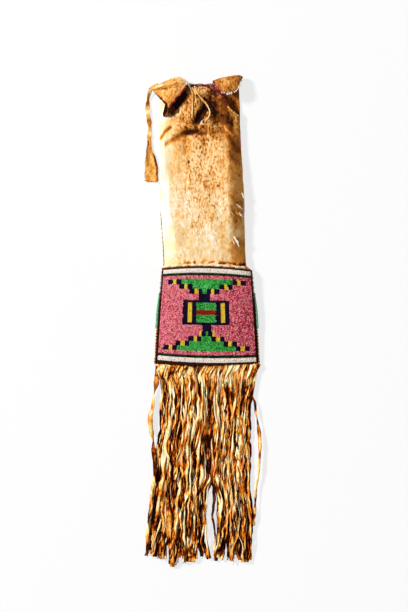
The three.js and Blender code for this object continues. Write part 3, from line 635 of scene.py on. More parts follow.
creases = [  # folds of the hide: depth, width, darkness and line; a negative depth is a ridge; the darkness is painted shade in the fold, and a negative darkness a painted highlight on a ridge
    (0.0044, 0.0050, 0.34, [(-0.0530, 0.3105), (-0.0400, 0.3180), (-0.0190, 0.3238)]),
    (0.0036, 0.0036, 0.32, [(-0.0700, 0.2995), (-0.0590, 0.3066)]),
    (0.0042, 0.0030, 0.50, [(-0.0805, 0.3107), (-0.0735, 0.3210), (-0.0640, 0.3290)]),
    (0.0030, 0.0055, 0.06, [(0.0105, 0.3281), (0.0262, 0.3176), (0.0367, 0.2966)]),
    (0.0020, 0.0045, 0.12, [(-0.0367, 0.3176), (-0.0372, 0.2850)]),
    (0.0013, 0.0050, 0.06, [(-0.0040, 0.3220), (-0.0018, 0.2750)]),
    (0.0034, 0.0046, 0.22, [(0.0262, 0.3280), (0.0437, 0.3070), (0.0542, 0.2890)]),
    (-0.0040, 0.0052, 0.0, [(-0.0140, 0.3999), (0.0035, 0.3911), (0.0227, 0.3789)]),
    (0.0090, 0.0090, 0.16, [(-0.0018, 0.3771), (0.0122, 0.3596), (0.0245, 0.3351)]),
    (0.0040, 0.0080, 0.0, [(-0.0297, 0.3911), (-0.0542, 0.3596)]),
    (0.0105, 0.0062, 0.20, [(-0.0040, 0.3640), (-0.0105, 0.3500), (-0.0185, 0.3365)]),
    (-0.0030, 0.0022, -0.14, [(0.0300, 0.3290), (0.0385, 0.3210), (0.0455, 0.3140)]),
    (0.0024, 0.0034, 0.14, [(0.0400, 0.2860), (0.0480, 0.2740), (0.0590, 0.2650)]),
    (0.0018, 0.0032, 0.08, [(0.0420, 0.2600), (0.0490, 0.2500), (0.0600, 0.2440)]),
    (0.0022, 0.0034, 0.14, [(0.0440, 0.2080), (0.0520, 0.1990), (0.0600, 0.1960)]),
    (0.0018, 0.0030, 0.10, [(0.0440, 0.1890), (0.0500, 0.1780), (0.0520, 0.1640)]),
    (0.0018, 0.0032, 0.10, [(-0.0270, 0.3850), (-0.0262, 0.3420)]),
    (0.0020, 0.0040, 0.10, [(-0.0640, 0.3400), (-0.0440, 0.3440), (-0.0300, 0.3380)]),
    (-0.0012, 0.0014, -0.10, [(0.0437, 0.1485), (0.0640, 0.1480)]),
]
shadesAndStains = {  # place, reach along x and y, lean and strength of each spot; the dark spots are stains and tone patches, painted shade in the hollows, holes and folds and painted shadow beside the drawstring and under the tatters, and, where negative, paler patches and a painted highlight below the rim; maroon spots are painted shadow beside the ears' edges; inside is painted shade within the mouth
    "dark": [
        # the first two: painted shade in the hollow right of the drawstring
        (0.0250, 0.3580, 0.0170, 0.0330, 0.50, 0.30),
        (0.0090, 0.3610, 0.0080, 0.0280, 0.20, 0.30),
        (0.0400, 0.3330, 0.0060, 0.0160, 0.30, 0.20),
        (0.0000, 0.2080, 0.0950, 0.0800, 0.0, -0.028),
        (0.0568, 0.1890, 0.0018, 0.0062, 1.06, -0.26),
        (0.0560, 0.1775, 0.0022, 0.0080, 1.06, -0.26),
        (0.0550, 0.1430, 0.0090, 0.0052, 0.0, -0.12),
        # painted shade in the hollow between the drawstring's runs, then in a hole below it
        (-0.0098, 0.3525, 0.0074, 0.0200, -0.59, 0.66),
        (-0.0070, 0.3308, 0.0026, 0.0028, 0.0, 0.60),
        (0.0190, 0.3330, 0.0075, 0.0050, 0.35, -0.26),
        (-0.0400, 0.2966, 0.0130, 0.0200, 0.0, 0.10),
        (-0.0470, 0.2020, 0.0300, 0.0440, 0.0, -0.12),
        (0.0300, 0.1930, 0.0100, 0.0280, 0.0, -0.08),
        (0.0000, 0.1320, 0.0220, 0.0300, 0.0, -0.06),
        (0.0315, 0.1300, 0.0080, 0.0280, 0.0, 0.06),
        (0.0500, 0.2850, 0.0130, 0.0300, 0.0, 0.10),
        # painted shade in the two holes of the drawstring
        (-0.0175, 0.3824, 0.0026, 0.0036, 0.5, 0.60),
        (-0.0052, 0.3789, 0.0030, 0.0028, 0.5, 0.55),
        (-0.0315, 0.2686, 0.0013, 0.0042, -0.15, 0.55),
        (0.0560, 0.1120, 0.0190, 0.0280, 0.25, 0.20),
        (0.0540, 0.1800, 0.0120, 0.0240, 0.0, 0.14),
        # painted shade in the crease band under the gather
        (-0.0330, 0.3225, 0.0150, 0.0065, -0.4, 0.28),
        (-0.0040, 0.3225, 0.0210, 0.0065, 0.0, 0.24),
        (0.0480, 0.2960, 0.0110, 0.0260, 0.30, 0.09),
        # painted highlight below the rolled right rim
        (0.0465, 0.3480, 0.0040, 0.0180, 0.55, -0.16),
        # painted shadow under the ear's tatters
        (-0.0630, 0.3600, 0.0100, 0.0085, -0.6, 0.50),
    ],
    "maroonShade": [
        # painted shadow beside the left ear's edge, then beside the right ear's edging
        (-0.0472, 0.3790, 0.0116, 0.0270, -0.56, 1.0),
        (0.0105, 0.3955, 0.0058, 0.0130, 0.62, 0.9),
    ],
    "inside": [
        # painted shade inside the mouth
        (0.0125, 0.3980, 0.0120, 0.0100, 0.0, 1.0),
    ],
}
spotEdge = {"grain": 0.0045, "ragged": 0.30, "seed": 7.7, "from": 0.6, "to": 1.2}


def lineDistance(x, y, line):
    nearest = np.full(np.shape(x), 1e9)
    for (ax, ay), (bx, by) in zip(line[:-1], line[1:]):
        run = (bx - ax) ** 2 + (by - ay) ** 2
        t = np.clip(((x - ax) * (bx - ax) + (y - ay) * (by - ay)) / run, 0, 1)
        nearest = np.minimum(nearest, np.hypot(x - ax - t * (bx - ax), y - ay - t * (by - ay)))
    return nearest


def creaseSum(x, y, kind):  # depth or painted shade of all creases
    total = np.zeros(np.shape(x))
    for deep, wide, dark, line in creases:
        strength = deep if kind == "deep" else dark
        total += strength * np.exp(-(lineDistance(x, y, line) / wide) ** 2)
    return total


def shadeAndStainSum(x, y, kind):
    total = np.zeros(np.shape(x))
    ragged = spotEdge["ragged"] * lumps(x, y, spotEdge["grain"], spotEdge["grain"], spotEdge["seed"])
    for atX, atY, reachX, reachY, lean, strength in shadesAndStains[kind]:
        dx, dy = x - atX, y - atY
        c, s = math.cos(lean), math.sin(lean)
        away = np.hypot((dx * c + dy * s) / reachX, (dy * c - dx * s) / reachY)
        total += strength * (1 - smooth(away + ragged, spotEdge["from"], spotEdge["to"]))
    return total


paintedHighlightEdge = through([  # right end of the painted highlight on the pale left slope
    (0.085, -0.67), (0.115, -0.67), (0.158, -0.76), (0.202, -0.80), (0.24, -0.75), (0.30, -0.70),
])
# how much paler the left slope is painted along the neck: painted highlight
paintedHighlight = through([(0.085, 0.03), (0.115, 0.06), (0.15, 0.16), (0.24, 0.195), (0.30, 0.21)])
hideMesh = {
    "frontPoints": 124, "backPoints": 40, "bodyRows": 24, "seamRows": 7, "neckStep": 0.0018, "mouthRows": 48,
    "frontPower": 2 / neckForm["round"], "backPower": 2 / 7,
}


def hideRing(y, towardsRim):  # one closed ring round the bag; above the gather it follows the rim
    front = np.pi * np.arange(hideMesh["frontPoints"]) / hideMesh["frontPoints"]
    back = np.pi * (1 + np.arange(hideMesh["backPoints"]) / hideMesh["backPoints"])
    turn = np.r_[front, back]
    isFront = np.arange(len(turn)) < len(front)
    power = np.where(isFront, hideMesh["frontPower"], hideMesh["backPower"])
    side = -np.sign(np.cos(turn)) * np.abs(np.cos(turn)) ** power
    rise = np.sin(turn)
    rim = backRim - rimDrop(side / 2 + 0.5) * smooth(rise, -0.5, 0.05)
    at = blend(y, rim, towardsRim)
    x = bodyShift(at) + bodyHalf(at) * side
    under = blend(bodySide(at), bodyFloor(at), np.abs(rise) ** hideMesh["backPower"])
    z = np.where(isFront, frontZ(x, at), under)
    return x, at, z, isFront, side


dents = [(0.0011, 0.020, 0.034, 3.7), (0.0005, 0.008, 0.013, 9.1)]  # height, size along x and y, seed
mouthDents = (0.0013, 0.009, 0.012, 1.3)
edgeWave = (0.0009, 0.017, 5.5)  # how far the sides wander, how long the waves are, seed


def nearMouth(y):
    return smooth(y, gatherLine - 0.035, gatherLine + 0.02)


hideTone = {  # shades run from 0, stained or in painted shade, to 1, bleached or in painted highlight
    "usual": 0.68, "lowNeck": 0.12, "cloud": 0.05, "streak": 0.05, "rightSlope": 0.14, "seamDirt": 0.66,
    "gather": 0.12, "gatherCloud": 0.14, "gatherStreak": 0.22, "gatherLeftHighlight": 0.21, "gatherEdgeHighlight": 0.14,
    "inside": 0.56, "insideDeepShade": 0.26, "insideCloud": 0.10, "hem": 0.08, "grooveMaroonShade": 0.4,
    "mottle": 0.30, "speckle": 0.54, "gatherMottle": 0.26,
}


def hideTones(x, y, side, isFront):  # shade, strength of mottle and maroon painted shade of each place
    cloud = lumps(x, y, 0.016, 0.022, 2.2)
    streak = lumps(x, y, 0.006, 0.020, 5.9)
    mouth = nearMouth(y)
    edgeX = x * panelMiddleHalf / panelHalf(panelTop)
    aboveHem = y - onPanel(edgeX, panelTop)[1]
    atHem = 1 - smooth(aboveHem, 0.0026, 0.0050)
    lit = paintedHighlightEdge(y) + 0.05 * cloud + 0.04 * streak
    shade = hideTone["usual"] + hideTone["lowNeck"] * (1 - smooth(y, 0.10, 0.22))
    shade += hideTone["cloud"] * cloud + hideTone["streak"] * streak
    # the left slope painted paler: painted highlight
    shade += paintedHighlight(y) * (1 - smooth(side, lit - 0.10, lit + 0.08)) * (1 - smooth(y, 0.28, 0.34))
    # the right slope painted darker: painted shade
    shade -= hideTone["rightSlope"] * smooth(side, 0.58, 0.76)
    drawn = hideTone["gather"] + hideTone["gatherCloud"] * cloud + hideTone["gatherStreak"] * streak
    shade -= drawn * mouth
    # the left side by the mouth painted paler, and its far edge more: painted highlight
    shade += hideTone["gatherLeftHighlight"] * mouth * (1 - smooth(side, -0.75, -0.30))
    shade += hideTone["gatherEdgeHighlight"] * mouth * (1 - smooth(side, -0.93, -0.75))
    # spots and creases: stains and tone patches, painted shade in hollows, holes and folds, painted highlight
    # on ridges
    shade -= shadeAndStainSum(x, y, "dark") + creaseSum(x, y, "dark")
    dirt = np.exp(-((aboveHem - 0.0100) / 0.0036) ** 2) * smooth(lumps(x, y, 0.006, 0.005, 8.3), -0.20, 0.30)
    shade -= hideTone["seamDirt"] * dirt * smooth(side, -0.85, -0.3)
    # the back half painted darker towards the mouth: painted shade inside the bag
    deepIn = smooth(y, gatherLine - 0.02, backRim - 0.04)
    inside = hideTone["inside"] - hideTone["insideDeepShade"] * deepIn + hideTone["insideCloud"] * cloud
    shade = np.where(isFront, shade, inside)
    # painted shade in the groove under the lip, in the gaps of the beadwork and along the panel's sides
    shade = blend(shade, hideTone["hem"], atHem * isFront)
    speckle = np.exp(-((side - 0.06) / 0.46) ** 4) * smooth(y, 0.11, 0.20)
    mottle = hideTone["mottle"] + hideTone["speckle"] * speckle + hideTone["gatherMottle"] * mouth
    # less mottle where the left slope is painted as highlight
    mottle *= 0.35 + 0.65 * smooth(side, lit - 0.06, lit + 0.10)
    mottle *= 0.45 + 0.55 * smooth(shade, 0.20, 0.55)
    # maroon painted shadow beside the ears and in the groove under the lip, maroon painted shade inside the
    # mouth
    maroonShade = shadeAndStainSum(x, y, "maroonShade") + hideTone["grooveMaroonShade"] * atHem
    maroonShade = np.where(isFront, maroonShade, shadeAndStainSum(x, y, "inside"))
    return shade, mottle, maroonShade


def makeHideBag():
    rows = list(np.linspace(bodyBottom, shoulder, hideMesh["bodyRows"]))
    rows += list(np.linspace(shoulder, neckStart + 0.004, hideMesh["seamRows"])[1:])
    rows += list(np.arange(neckStart + 0.0058, gatherLine, hideMesh["neckStep"]))
    rings = [hideRing(y, 0.0) for y in rows]
    rings += [hideRing(gatherLine, share) for share in np.linspace(0, 1, hideMesh["mouthRows"])]
    x, y, z, isFront, side = (np.array([ring[k] for ring in rings]) for k in range(5))
    rise = frontRise(side, y) * isFront
    onNeck = smooth(y, neckStart + 0.003, neckStart + 0.02)
    z = z - creaseSum(x, y, "deep") * rise * onNeck
    soft = sum(height * lumps(x, y, *size) for height, *size in dents)
    soft = soft + mouthDents[0] * nearMouth(y) * lumps(x, y, *mouthDents[1:])
    z = z + soft * rise * onNeck
    wander, *wave = edgeWave
    x = x + wander * lumps(side * 0.01, y, 0.02, *wave) * onNeck * np.abs(side) ** 3
    batch = newBatch()
    loft(batch, np.stack([x, y, z], axis=-1))
    batch["faces"].pop()  # the mouth stays open
    piece = makePiece("hideBag", batch, hideMaterial, "hide", "hide_bag")
    paintHide(piece, *hideTones(x, y, side, isFront))
    thicken(piece, bag["hideThickness"], -1.0)


def paintHide(piece, shade, mottle, maroonShade):
    layers = {"shade": np.clip(shade, 0, 1.1), "mottle": mottle, "maroonShade": np.clip(maroonShade, 0, 1)}
    for name, values in layers.items():
        layer = piece.data.attributes.new(name, "FLOAT", "POINT")
        layer.data.foreach_set("value", np.ravel(values).astype(float))


def thicken(piece, thickness, offset):
    shell = piece.modifiers.new("thickness", "SOLIDIFY")
    shell.thickness = thickness
    shell.offset = offset


makeHideBag()


# Ears: the back corners of the mouth, rolled over and forward

ears = {  # lines of the crest, the fold and the free edge, from the corner of the mouth
    "left": {
        "crest": [(-0.0124, -0.0095, 0.010), (-0.0040, -0.0025, 0.016), (0.015, 0.0060, 0.025),
                  (0.034, 0.0105, 0.029), (0.046, 0.0040, 0.027)],
        "fold": [(-0.0112, -0.0105, 0.013), (0.002, -0.0080, 0.021), (0.018, -0.0060, 0.029),
                 (0.034, -0.0040, 0.032), (0.0462, -0.0010, 0.030)],
        "edge": [(-0.0105, -0.0118, 0.011), (0.0150, -0.0416, 0.030), (0.0462, -0.0034, 0.031)],
        "base": (0.017, 0.042), "corner": leftCorner, "sharp": True, "bulge": 0.0045, "shade": 0.63,
    },
    "right": {
        "crest": [(-0.0484, 0.0045, 0.027), (-0.0335, 0.0089, 0.028), (-0.016, 0.0121, 0.027),
                  (-0.002, 0.0142, 0.022), (0.0045, 0.0128, 0.014)],
        "fold": [(-0.0475, 0.0040, 0.029), (-0.033, 0.0010, 0.031), (-0.018, 0.0010, 0.031),
                 (-0.003, 0.0090, 0.025), (0.0041, 0.0122, 0.0145)],
        "edge": [(-0.0466, 0.0028, 0.030), (-0.0326, -0.0130, 0.033), (-0.0213, -0.0156, 0.033),
                 (-0.0107, -0.0130, 0.031), (-0.0046, -0.0068, 0.028), (-0.0011, 0.0028, 0.021),
                 (0.0036, 0.0112, 0.014)],
        "base": (-0.042, -0.017), "corner": rightCorner, "sharp": False, "bulge": 0.0006, "shade": 0.50,
    },
}
earMesh = {"along": 60, "around": 40, "flapPoints": 15, "baseReach": 0.006, "thinner": 0.8}
# dark paints the pucker hollows darker and their ridges paler: painted shade and highlight
earPuckers = {"long": 0.026, "short": 0.0026, "seed": 4.4, "deep": 0.0024, "dark": 0.30, "slant": 0.35}
flapDents = (0.0007, 0.007, 0.007, 8.8)


def earLines(ear):
    count = earMesh["along"]
    crest = smoothPath(np.array(ear["crest"]) + ear["corner"], count)
    fold = smoothPath(np.array(ear["fold"]) + ear["corner"], count)
    edge = np.array(ear["edge"]) + ear["corner"]
    if ear["sharp"]:  # two straight edges that meet in a point
        half = count // 2
        first = np.linspace(edge[0], edge[1], half, endpoint=False)
        edge = np.vstack([first, np.linspace(edge[1], edge[2], count - half)])
    else:
        edge = smoothPath(edge, count)
    return crest, fold, edge


def makeEar(name):
    ear = ears[name]
    crest, fold, edge = earLines(ear)
    count, around = earMesh["along"], earMesh["around"]
    thick = bag["hideThickness"]
    rows = []
    for i in range(count):
        baseX = ear["corner"][0] + blend(*ear["base"], i / (count - 1))
        top, bent, free = crest[i], fold[i], edge[i]
        base = (baseX, backRim - earMesh["baseReach"], thick * 0.6)
        rim = (blend(baseX, top[0], 0.15), backRim + 0.001, thick * 0.95)
        roll = (blend(baseX, top[0], 0.8), top[1] + 0.0005, top[2] * 0.55)
        swell = (top + bent) / 2 + np.array((0, 0, ear["bulge"]))
        middle = (bent + free) / 2 + np.array((0, 0, 0.0006))
        rolled = smoothPath([base, rim, roll, top, swell, bent], around - earMesh["flapPoints"] + 1)
        rows.append(np.vstack([rolled[:-1], smoothPath([bent, middle, free], earMesh["flapPoints"])]))
    grid = np.array(rows)
    x, y = grid[..., 0], grid[..., 1]
    inner = np.linspace(0, 1, around)[None, :] * np.ones((count, 1))
    onRoll = smooth(inner, 0.34, 0.44) * (1 - smooth(inner, 0.62, 0.70))
    onFlap = smooth(inner, 0.66, 0.76)
    slant = y - earPuckers["slant"] * x  # puckers run along the roll
    puckers = lumps(x, slant, earPuckers["long"], earPuckers["short"], earPuckers["seed"]) * onRoll
    grid[..., 2] += earPuckers["deep"] * puckers + flapDents[0] * lumps(x, y, *flapDents[1:]) * onFlap
    faces = []
    for i in range(count - 1):
        for j in range(around - 1):
            a = i * around + j
            faces.append((a, a + 1, a + around + 1, a + around))
    batch = newBatch()
    pour(batch, grid.reshape(-1, 3), faces, 0.5)
    piece = makePiece(name + "Ear", batch, hideMaterial, "hide", "hide_bag")
    # the flap painted a little darker, as painted shade; puckers painted paler on their ridges and darker in
    # their hollows, as painted highlight and shade
    shade = ear["shade"] - 0.07 * onFlap + earPuckers["dark"] * puckers
    shade += 0.10 * lumps(x, y, 0.008, 0.008, 1.9)
    along = np.linspace(0, 1, count)[:, None] * np.ones((1, around))
    if ear["sharp"]:
        # along the flap's lower left edge: dark edging with painted shade; along the fold: painted shade
        shade -= 0.55 * smooth(inner, 0.90, 0.97) * (1 - smooth(along, 0.46, 0.52))
        shade -= 0.20 * np.exp(-((inner - 0.66) / 0.025) ** 2)
    else:
        shade -= 0.56 * smooth(along, 0.90, 0.97) + 0.30 * (1 - smooth(along, 0.0, 0.10))
    paintHide(piece, shade, 0.5 * np.ones_like(x), np.zeros_like(x))
    thicken(piece, thick * earMesh["thinner"], 0.0)
    return fold, edge


earEdges = {name: makeEar(name) for name in ears}


# Beads: short barrels of glass on their threads

beadSize = {"sides": 6, "backSides": 4, "length": 0.00145, "pitch": 0.0019, "taper": 0.78, "flat": 0.6}


def beadTemplate(sides):
    points = []
    for along, radius in ((-0.5, beadSize["taper"]), (0.0, 1.0), (0.5, beadSize["taper"])):
        for k in range(sides):
            a = 2 * math.pi * (k + 0.5) / sides
            points.append((radius * math.cos(a), radius * math.sin(a), along))
    faces = []
    for ring in range(2):
        for k in range(sides):
            n = (k + 1) % sides
            faces.append((ring * sides + k, ring * sides + n, (ring + 1) * sides + n, (ring + 1) * sides + k))
    faces.append(tuple(reversed(range(sides))))
    faces.append(tuple(range(2 * sides, 3 * sides)))
    return np.array(points), faces


beadShapes = {sides: beadTemplate(sides) for sides in (beadSize["sides"], beadSize["backSides"])}


def layBeads(batch, centres, axes, normals, radius, length, tone, hue=0.5, flat=1.0, sides=beadSize["sides"]):
    beadPoints, beadFaces = beadShapes[sides]
    axes = unit(axes)
    cross = unit(np.cross(axes, normals))
    up = np.cross(cross, axes)
    radius = np.broadcast_to(radius, len(centres))[:, None, None]
    length = np.broadcast_to(length, len(centres))[:, None, None]
    around = cross[:, None, :] * beadPoints[None, :, :1] + flat * up[:, None, :] * beadPoints[None, :, 1:2]
    made = centres[:, None, :] + radius * around + length * axes[:, None, :] * beadPoints[None, :, 2:]
    each = len(beadPoints)
    faces = [tuple(bead * each + i for i in face) for bead in range(len(centres)) for face in beadFaces]
    tones = np.repeat(np.broadcast_to(tone, len(centres)), each)
    pour(batch, made.reshape(-1, 3), faces, tones, np.repeat(np.broadcast_to(hue, len(centres)), each))


laneHeights = [  # lanes of the front beadwork from its upper edge down
    0.0087, 0.0021, 0.0077, 0.0087, 0.0087, 0.0087, 0.0112, 0.0086, 0.0086, 0.0086, 0.0086, 0.0086,
    0.0112, 0.0087, 0.0087, 0.0087, 0.0087, 0.0074, 0.0040, 0.0087,
]
beadwork = {
    "clearance": 0.0012, "arch": 0.0008, "fullLane": 0.0087, "seed": 11, "inset": 0.976,
    "lines": {1: 2.1, 18: 1.3}, "lineLift": 0.0011,  # the dark green lines, with the stretch of their beads
    "swell": {"white": 1.10}, "darkReach": 0.0007, "boxLanes": range(7, 12),
    "leans": [0, 0, 0, 0.0004, 0.0017, 0.0043, 0.0043, 0.0015, 0.0015, 0.0015, 0.0015, 0.0015,
              0, 0, 0.0005, 0.0012, 0.0008, 0, 0, 0],  # how far left of the middle each lane's design lies
    "toneShift": {"white": 0.20, "yellow": 0.12, "navy": -0.1, "darkGreen": -0.1},
}
looseness = {  # how far single beads stray from the regular ones
    "across": 0.00010, "along": 0.00007, "lift": 0.00012, "size": 0.05, "turn": 0.07, "tone": 0.30,
    "odd": 0.05,
}
colourOf = {
    "pink_field": "pink", "white_band": "white", "green_line": "darkGreen", "green_field": "green",
    "box_green": "green", "navy": "navy", "yellow": "yellow", "red_bar": "red",
}
slotOf = {
    "pink": "pink_beads", "white": "white_beads", "darkGreen": "dark_green_beads", "green": "green_beads",
    "navy": "dark_blue_beads", "yellow": "yellow_beads", "red": "red_beads",
}


def frontBeadNodes():
    found = {}
    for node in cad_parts:
        for word, colour in colourOf.items():
            if word in node:
                found[node] = colour
    return found


def colourFinder(nodeColours):  # which colour of solid lies under a place on the panel
    points, faces, owners = [], [], []
    for node, colour in nodeColours.items():
        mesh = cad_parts[node].data
        start = len(points)
        points += [vertex.co.copy() for vertex in mesh.vertices]
        for face in mesh.polygons:
            faces.append([start + i for i in face.vertices])
            owners.append(colour)
    tree = BVHTree.FromPolygons(points, faces)

    def find(x, y, z):
        hit = tree.ray_cast(Vector((x, y, 0.1)), Vector((0, 0, -1)))
        if hit[0] is None:
            hit = tree.find_nearest(Vector((x, y, z)))
        return owners[hit[2]]

    return find


def panelFrame(x, y):  # place, direction along the row and outward direction of a bead
    step = 0.0005
    px, py = onPanel(x, y)
    place = overFront(px, py)
    ax, ay = onPanel(x, y + step)
    bx, by = onPanel(x + step, y)
    row = unit(overFront(ax, ay) - place)
    lane = unit(overFront(bx, by) - place)
    return place, row, unit(np.cross(lane, row))


def makeFrontBeads():
    rng = np.random.default_rng(beadwork["seed"])
    nodeColours = frontBeadNodes()
    find = colourFinder(nodeColours)
    columns = int(2 * panelMiddleHalf / beadSize["pitch"])
    across = (np.arange(columns) + 0.5) / columns * 2 - 1
    seat = beadwork["clearance"] + beadSize["pitch"] * beadSize["flat"] / 2
    batches = {colour: newBatch() for colour in slotOf}
    top = panelTop
    for lane, height in enumerate(laneHeights):
        count = max(1, round(height / beadSize["length"]))
        isLine = lane in beadwork["lines"]
        rowTone = rng.normal(0.56, 0.08, columns)
        for j in range(count):
            share = (j + 0.5) / count
            x = across * panelMiddleHalf * beadwork["inset"] + rng.normal(0, looseness["across"], columns)
            y = top - height * share + rng.normal(0, looseness["along"], columns)
            place, row, outward = panelFrame(x, y)
            usual = beadSize["pitch"] / 2 * panelHalf(y) / panelMiddleHalf
            radius = usual * rng.normal(1.0, looseness["size"], columns)
            arch = beadwork["arch"] * (1 - (2 * share - 1) ** 2) * min(1.0, height / beadwork["fullLane"])
            lift = seat + arch + rng.normal(0, looseness["lift"], columns)
            lift = lift + (beadwork["lineLift"] if isLine else 0.0)
            centres = place + outward * lift[:, None]
            row = row + rng.normal(0, looseness["turn"], row.shape)
            # beads painted darker towards the right and paler at the left: painted shade and light
            right = smooth(x, 0.0, 0.075)
            tone = rowTone + rng.normal(0, looseness["tone"], columns) * (1 + 0.3 * right)
            tone = tone + 0.14 * lumps(x, y, 0.0042, 0.0042, 3.1)
            tone = tone - 0.19 * right + 0.06 * (1 - smooth(x, -0.07, 0.0))
            # a few beads much lighter: odd glass and painted glints
            tone = np.clip(np.where(rng.random(columns) < looseness["odd"], tone + 0.5, tone), 0, 1)
            hue = np.clip(rng.random(columns) + 0.5 * lumps(x, y, 0.006, 0.006, 6.2), 0, 1)
            looked = centres + (beadwork["leans"][lane], 0.0, 0.0)
            colours = np.array(["darkGreen" if isLine else find(*point) for point in looked])
            reach = 0.0 if lane in beadwork["boxLanes"] else beadwork["darkReach"]
            for i in np.flatnonzero(colours == "yellow"):  # the dark beads of the stairs have the borders
                beside = [find(looked[i, 0] + step, *looked[i, 1:]) for step in (-reach, reach)]
                colours[i] = "navy" if "navy" in beside else "yellow"
            colours = np.where((colours == "darkGreen") & (not isLine), "pink", colours)
            length = height / count * beadwork["lines"].get(lane, 0.96)
            for colour, batch in batches.items():
                mine = colours == colour
                shift = beadwork["toneShift"].get(colour, 0.0)
                swell = beadwork["swell"].get(colour, 1.0)
                if mine.any():
                    tones = np.clip(tone[mine] + shift, 0, 1)
                    layBeads(batch, centres[mine], row[mine], outward[mine], radius[mine] * swell,
                             length * swell, tones, hue[mine], beadSize["flat"])
        top -= height
    for colour, batch in batches.items():
        nodes = [node for node, own in nodeColours.items() if own == colour]
        makePiece(colour + "Beads", batch, beadMaterials[colour], slotOf[colour], *nodes)


makeFrontBeads()


backwork = {  # plain lanes on the side the bag lies on
    "lanes": 19, "columns": 84, "perLane": 5, "radius": 0.00098, "lift": 0.00005, "sag": 0.0009, "seed": 5,
}


def makeBackBeads():
    rng = np.random.default_rng(backwork["seed"])
    columns, perLane, radius = backwork["columns"], backwork["perLane"], backwork["radius"]
    batch = newBatch()
    height = bag["panelHeight"] / backwork["lanes"]
    across = (np.arange(columns) + 0.5) / columns * 2 - 1
    for lane in range(backwork["lanes"]):
        for j in range(perLane):
            share = (j + 0.5) / perLane
            y = np.full(columns, panelTop - height * (lane + share))
            z = np.full(columns, radius + backwork["lift"] + backwork["sag"] * (2 * share - 1) ** 4)
            centres = np.stack([across * (panelHalf(y) - radius), y, z], axis=1)
            row = np.broadcast_to((0.0, 1.0, 0.0), centres.shape)
            down = np.broadcast_to((0.0, 0.0, -1.0), centres.shape)
            tone = rng.normal(0.5, 0.2, columns)
            length = height / perLane * 0.97
            layBeads(batch, centres, row, down, radius, length, tone, sides=beadSize["backSides"])
    makePiece("backBeads", batch, beadMaterials["pink"], "pink_beads", "back_beadwork")


makeBackBeads()


# Bead edging of the mouth, the ears and the sides

edging = {
    "radius": 0.00105, "length": 0.0015, "pitch": 0.00165, "seed": 21, "raised": 0.0005, "lowered": -0.0004,
    "frontRim": (0.47, 0.87), "frontPoints": 40, "backReach": 0.022, "backPoints": 12,
}
earEdging = [  # the stretch of an ear's edge that each line of beads takes, and how its beads sit
    {"piece": "leftEarEdging", "node": "left_ear_edging", "slot": "edging_beads", "glass": "rose",
     "ear": "left", "stretch": (0.52, 0.97), "size": 1.5, "ragged": 0.0003, "tone": 0.26, "rise": 0.0},
    {"piece": "rightEarEdging", "node": "right_ear_edging", "slot": "edging_beads", "glass": "rose",
     "ear": "right", "stretch": (0.02, 0.30), "size": 1.4, "ragged": 0.0003, "tone": 0.5, "rise": 0.0},
    {"piece": "rightEarWhiteEdging", "node": "right_ear_white_edging", "slot": "white_beads",
     "glass": "white", "ear": "right", "stretch": (0.30, 0.96), "size": 1.1, "ragged": 0.0007,
     "tone": 0.6, "rise": 0.0032},
]


# Beads set across an edge, every other one raised, over a second row along it
def edgeBeads(batch, path, outward, rng, toneMiddle, size=1.0, ragged=0.0):
    length = np.linalg.norm(np.diff(path, axis=0), axis=1).sum()
    count = int(length / edging["pitch"])
    centres = smoothPath(path, count)
    along = unit(np.gradient(centres, axis=0))
    out = unit(smoothPath(outward, count))
    raised = np.where(np.arange(count) % 2 == 0, edging["raised"], edging["lowered"])[:, None]
    up = np.cross(along, out)
    up = up * np.sign(up[:, 2:3] + 1e-9)
    tone = np.clip(rng.normal(toneMiddle, 0.22, count), 0, 1)
    places = centres + out * 0.0004 + up * raised + rng.normal(0, ragged, centres.shape)
    across = out + 0.5 * along + rng.normal(0, ragged * 300, out.shape)
    layBeads(batch, places, across, up, edging["radius"] * size, edging["length"] * 1.25 * size, tone)
    low = np.clip(rng.normal(toneMiddle - 0.2, 0.2, count), 0, 1)
    under = places - up * 0.0013 + out * 0.0003
    layBeads(batch, under, along, up, edging["radius"] * size, edging["length"], low)


def rimPoints(low, high, count):
    share = np.linspace(low, high, count)
    y = backRim - rimDrop(share)
    x = bodyShift(y) + bodyHalf(y) * (2 * share - 1)
    z = frontZ(x, y) - creaseSum(x, y, "deep") * frontRise(2 * share - 1, y) - 0.0006
    return np.stack([x, y, z], axis=1)


